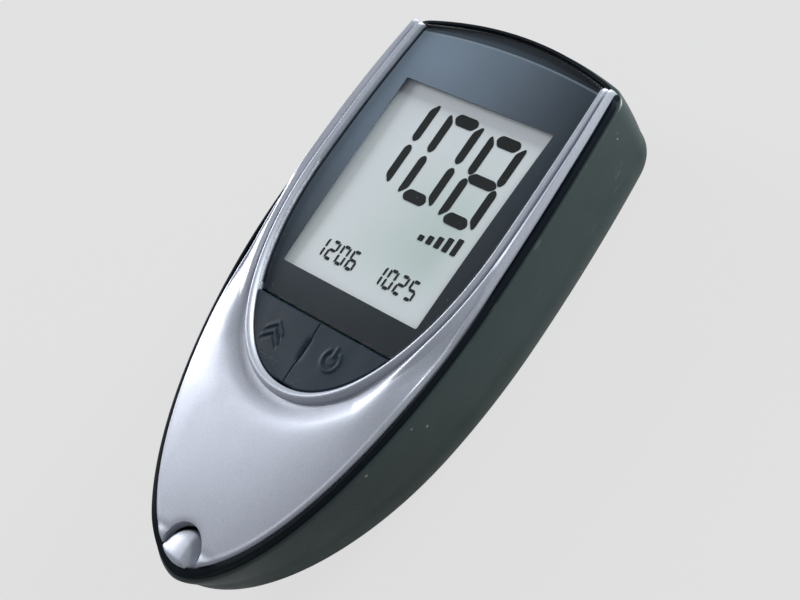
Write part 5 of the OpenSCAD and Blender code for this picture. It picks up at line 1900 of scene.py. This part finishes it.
@dataclass
class Fittings:
    """Pieces that keep the shape of their CAD node and get a finish of their own."""

    form: MeterForm
    wardrobe: Wardrobe
    finishes: dict[str, Finish] = field(default_factory=lambda: {
        "lcd_reflector": Finish("white_film", (0.78, 0.80, 0.79), 0.6, scale=5000.0, tone=0.04,
                                depth=0.002),
        "lcd_frame": Finish("white_moulding", (0.74, 0.75, 0.75), 0.5, tone=0.05),
        "lcd_connectors": Finish("stacked_rubber", (0.10, 0.09, 0.09), 0.7,
                                 pattern=Pattern.LAYERED, scale=900.0, tone=0.5, depth=0.01),
        "key_guide": Finish("black_moulding", (0.022, 0.023, 0.025), 0.5),
        "left_switch": SWITCH,
        "right_switch": SWITCH,
        "left_plunger": PLUNGER,
        "right_plunger": PLUNGER,
        "main_board": Finish("solder_mask", (0.022, 0.13, 0.065), 0.32, pattern=Pattern.TRACED,
                             scale=260.0, tone=0.35, depth=0.02, coat=0.3),
        "processor_chip": EPOXY,
        "memory_chip": EPOXY,
        "display_driver": Finish("bare_silicon", (0.02, 0.02, 0.024), 0.3, scale=7000.0),
        "clock_crystal": Finish("bright_tin", (0.66, 0.67, 0.69), 0.28, 1.0, Pattern.BRUSHED),
        "board_capacitors": Finish("fired_ceramic", (0.36, 0.25, 0.15), 0.5, scale=4200.0),
        "buzzer": Finish("buzzer_black", (0.03, 0.029, 0.028), 0.6, scale=2200.0),
        "strip_socket": Finish("cream_moulding", (0.70, 0.65, 0.54), 0.48, tone=0.05),
        "strip_contacts": Finish("gold_plate", (0.80, 0.56, 0.22), 0.25, 1.0, Pattern.BRUSHED),
        "contact_plates": Finish("nickel_sheet", (0.66, 0.64, 0.60), 0.3, 1.0, Pattern.BRUSHED),
        "case_screws": STEEL,
        "board_screws": STEEL})

    def dress(self, nodes: dict[str, bpy.types.Object], window: tuple[float, float]) -> None:
        """Gives each kept node its finish.

        Args:
            nodes: The frame's nodes by name.
            window: Lowest and highest y of the display's window.
        """
        for name, finish in self.finishes.items():
            self.wear(nodes[name], self.wardrobe.get(finish))
        self.wear(nodes["lcd_panel"], self.wardrobe.display_face(window))

    def wear(self, node: bpy.types.Object, material: bpy.types.Material) -> None:
        """Puts one material on all slots of a node."""
        node.data.materials.clear()
        node.data.materials.append(material)
        LOG.info("%s: dressed in %s", node.name, material.name)


@dataclass
class Studio:
    """Camera at the photograph's angle, soft lamps and a pale floor."""

    azimuth: float = 78.257
    elevation: float = 46.952
    roll: float = 46.645
    target: tuple[float, float, float] = (11.359, 2.827, 20.0)
    distance: float = 270.372
    lens: float = 81.922

    def stand(self, name: str, data: bpy.types.ID, *columns: np.ndarray) -> bpy.types.Object:
        """Places a camera or lamp by its right, up and back directions and its place."""
        pose = np.eye(4)
        pose[:3] = np.stack(columns, axis=-1)
        item = bpy.data.objects.new(name, data)
        bpy.context.scene.collection.objects.link(item)
        item.matrix_world = Matrix(pose.tolist())
        return item

    def camera(self) -> None:
        """Places the camera: it looks back along a direction given by two angles, rolled."""
        a, e, r = (math.radians(v) for v in (self.azimuth, self.elevation, self.roll))
        back = np.array([math.cos(e) * math.sin(a), -math.cos(e) * math.cos(a), math.sin(e)])
        up = np.array([0.0, 0.0, 1.0]) - back * back[2]
        up /= np.linalg.norm(up)
        side = np.cross(up, back)
        up = math.cos(r) * up + math.sin(r) * side
        right = np.cross(up, back)
        place = (np.array(self.target) + self.distance * back) * MM
        data = bpy.data.cameras.new("camera")
        data.lens = self.lens
        data.sensor_width = 36.0
        data.clip_start = 0.01
        bpy.context.scene.camera = self.stand("camera", data, right, up, back, place)

    def lamp(self, name: str, where: tuple[float, float, float], size: tuple[float, float],
             power: float, color: tuple[float, float, float] = (1.0, 1.0, 1.0)) -> None:
        """Adds one soft rectangular lamp that faces the meter's middle.

        Args:
            name: Name of the lamp.
            where: Its place in metres.
            size: Its two sides in metres.
            power: Its power in watts.
            color: Its colour.
        """
        data = bpy.data.lights.new(name, "AREA")
        data.shape = "RECTANGLE"
        data.size, data.size_y = size
        data.energy = power
        data.color = color
        back = np.array(where) - np.array([0.0, 0.0, 0.015])
        back /= np.linalg.norm(back)
        hint = np.array([0.0, 1.0, 0.0]) if abs(back[1]) < 0.9 else np.array([1.0, 0.0, 0.0])
        right = np.cross(hint, back)
        right /= np.linalg.norm(right)
        self.stand(name, data, right, np.cross(back, right), back, where)

    def lamps(self) -> None:
        """Key lamp low at the left, and a fill at the right of the display end."""
        self.lamp("left_key", (-0.92, 0.04, 0.37), (0.7, 0.3), 6.9, (0.98, 0.99, 1.0))
        self.lamp("right_fill", (0.34, 0.9, 0.22), (0.5, 0.35), 15.0, (0.95, 1.0, 0.97))

    def world(self) -> None:
        """Even grey light from all round."""
        world = bpy.data.worlds.new("studio_world")
        bpy.context.scene.world = world
        world.use_nodes = True
        world.node_tree.nodes.clear()
        sheet = Sheet(world.node_tree)
        back = sheet.add("ShaderNodeBackground", {"Color": (0.72, 0.74, 0.76, 1.0),
                                                  "Strength": 0.43})
        sheet.add("ShaderNodeOutputWorld", {"Surface": back.outputs[0]})

    def floor(self) -> None:
        """Pale floor: a wide disc that shows an even pale grey and keeps a faint shadow."""
        skin = Skin().add(lathe([(0.0, -0.02), (60.0, -0.02), (4000.0, -0.02)], (0.0, 0.0, 0.0),
                                sides=64), wrap=True)
        sheet, material = new_material("pale_floor")
        path = sheet.add("ShaderNodeLightPath")
        seen = sheet.math("MAXIMUM", path.outputs["Is Camera Ray"],
                          path.outputs["Is Transmission Ray"])
        matt = sheet.add("ShaderNodeBsdfDiffuse", {"Color": (0.66, 0.66, 0.66, 1.0)})
        glow = sheet.add("ShaderNodeEmission", {"Color": (0.775, 0.775, 0.775, 1.0)})
        both = sheet.add("ShaderNodeMixShader", {0: sheet.math("MULTIPLY", seen, 0.9),
                                                 1: matt.outputs[0], 2: glow.outputs[0]})
        sheet.finish(both)
        floor = skin.build("floor", material)

    def build(self) -> None:
        """Builds the camera, the lamps, the world and the floor."""
        self.camera()
        self.lamps()
        self.world()
        self.floor()
        bpy.context.scene.view_settings.view_transform = "Standard"


def corners(box: tuple) -> list[list[float]]:
    """A box's lowest and highest corner as plain lists."""
    return [[float(v) for v in corner] for corner in box]


def main() -> None:
    """Loads the frame, builds the studio and builds each sub-assembly around it."""
    logging.basicConfig(level=logging.INFO, format="%(name)s %(message)s")
    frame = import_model()
    form = MeterForm()
    Studio().build()
    wardrobe = Wardrobe()
    case = RearCase(form, wardrobe)
    case.build()
    case.build_bosses()
    BatteryBay(form, wardrobe).build()
    FrontCover(form, wardrobe).build()
    window = Window(form, wardrobe)
    window.build_lens()
    window.build_mask()
    Figures(form, wardrobe).build()
    Keys(form, wardrobe).build()
    StripPort(form, wardrobe).build()
    BatteryDoor(form, wardrobe).build()
    Cells(form, wardrobe).build()
    Fittings(form, wardrobe).dress(frame["nodes"], (window.y0, window.y1))


if __name__ == "__main__":
    main()
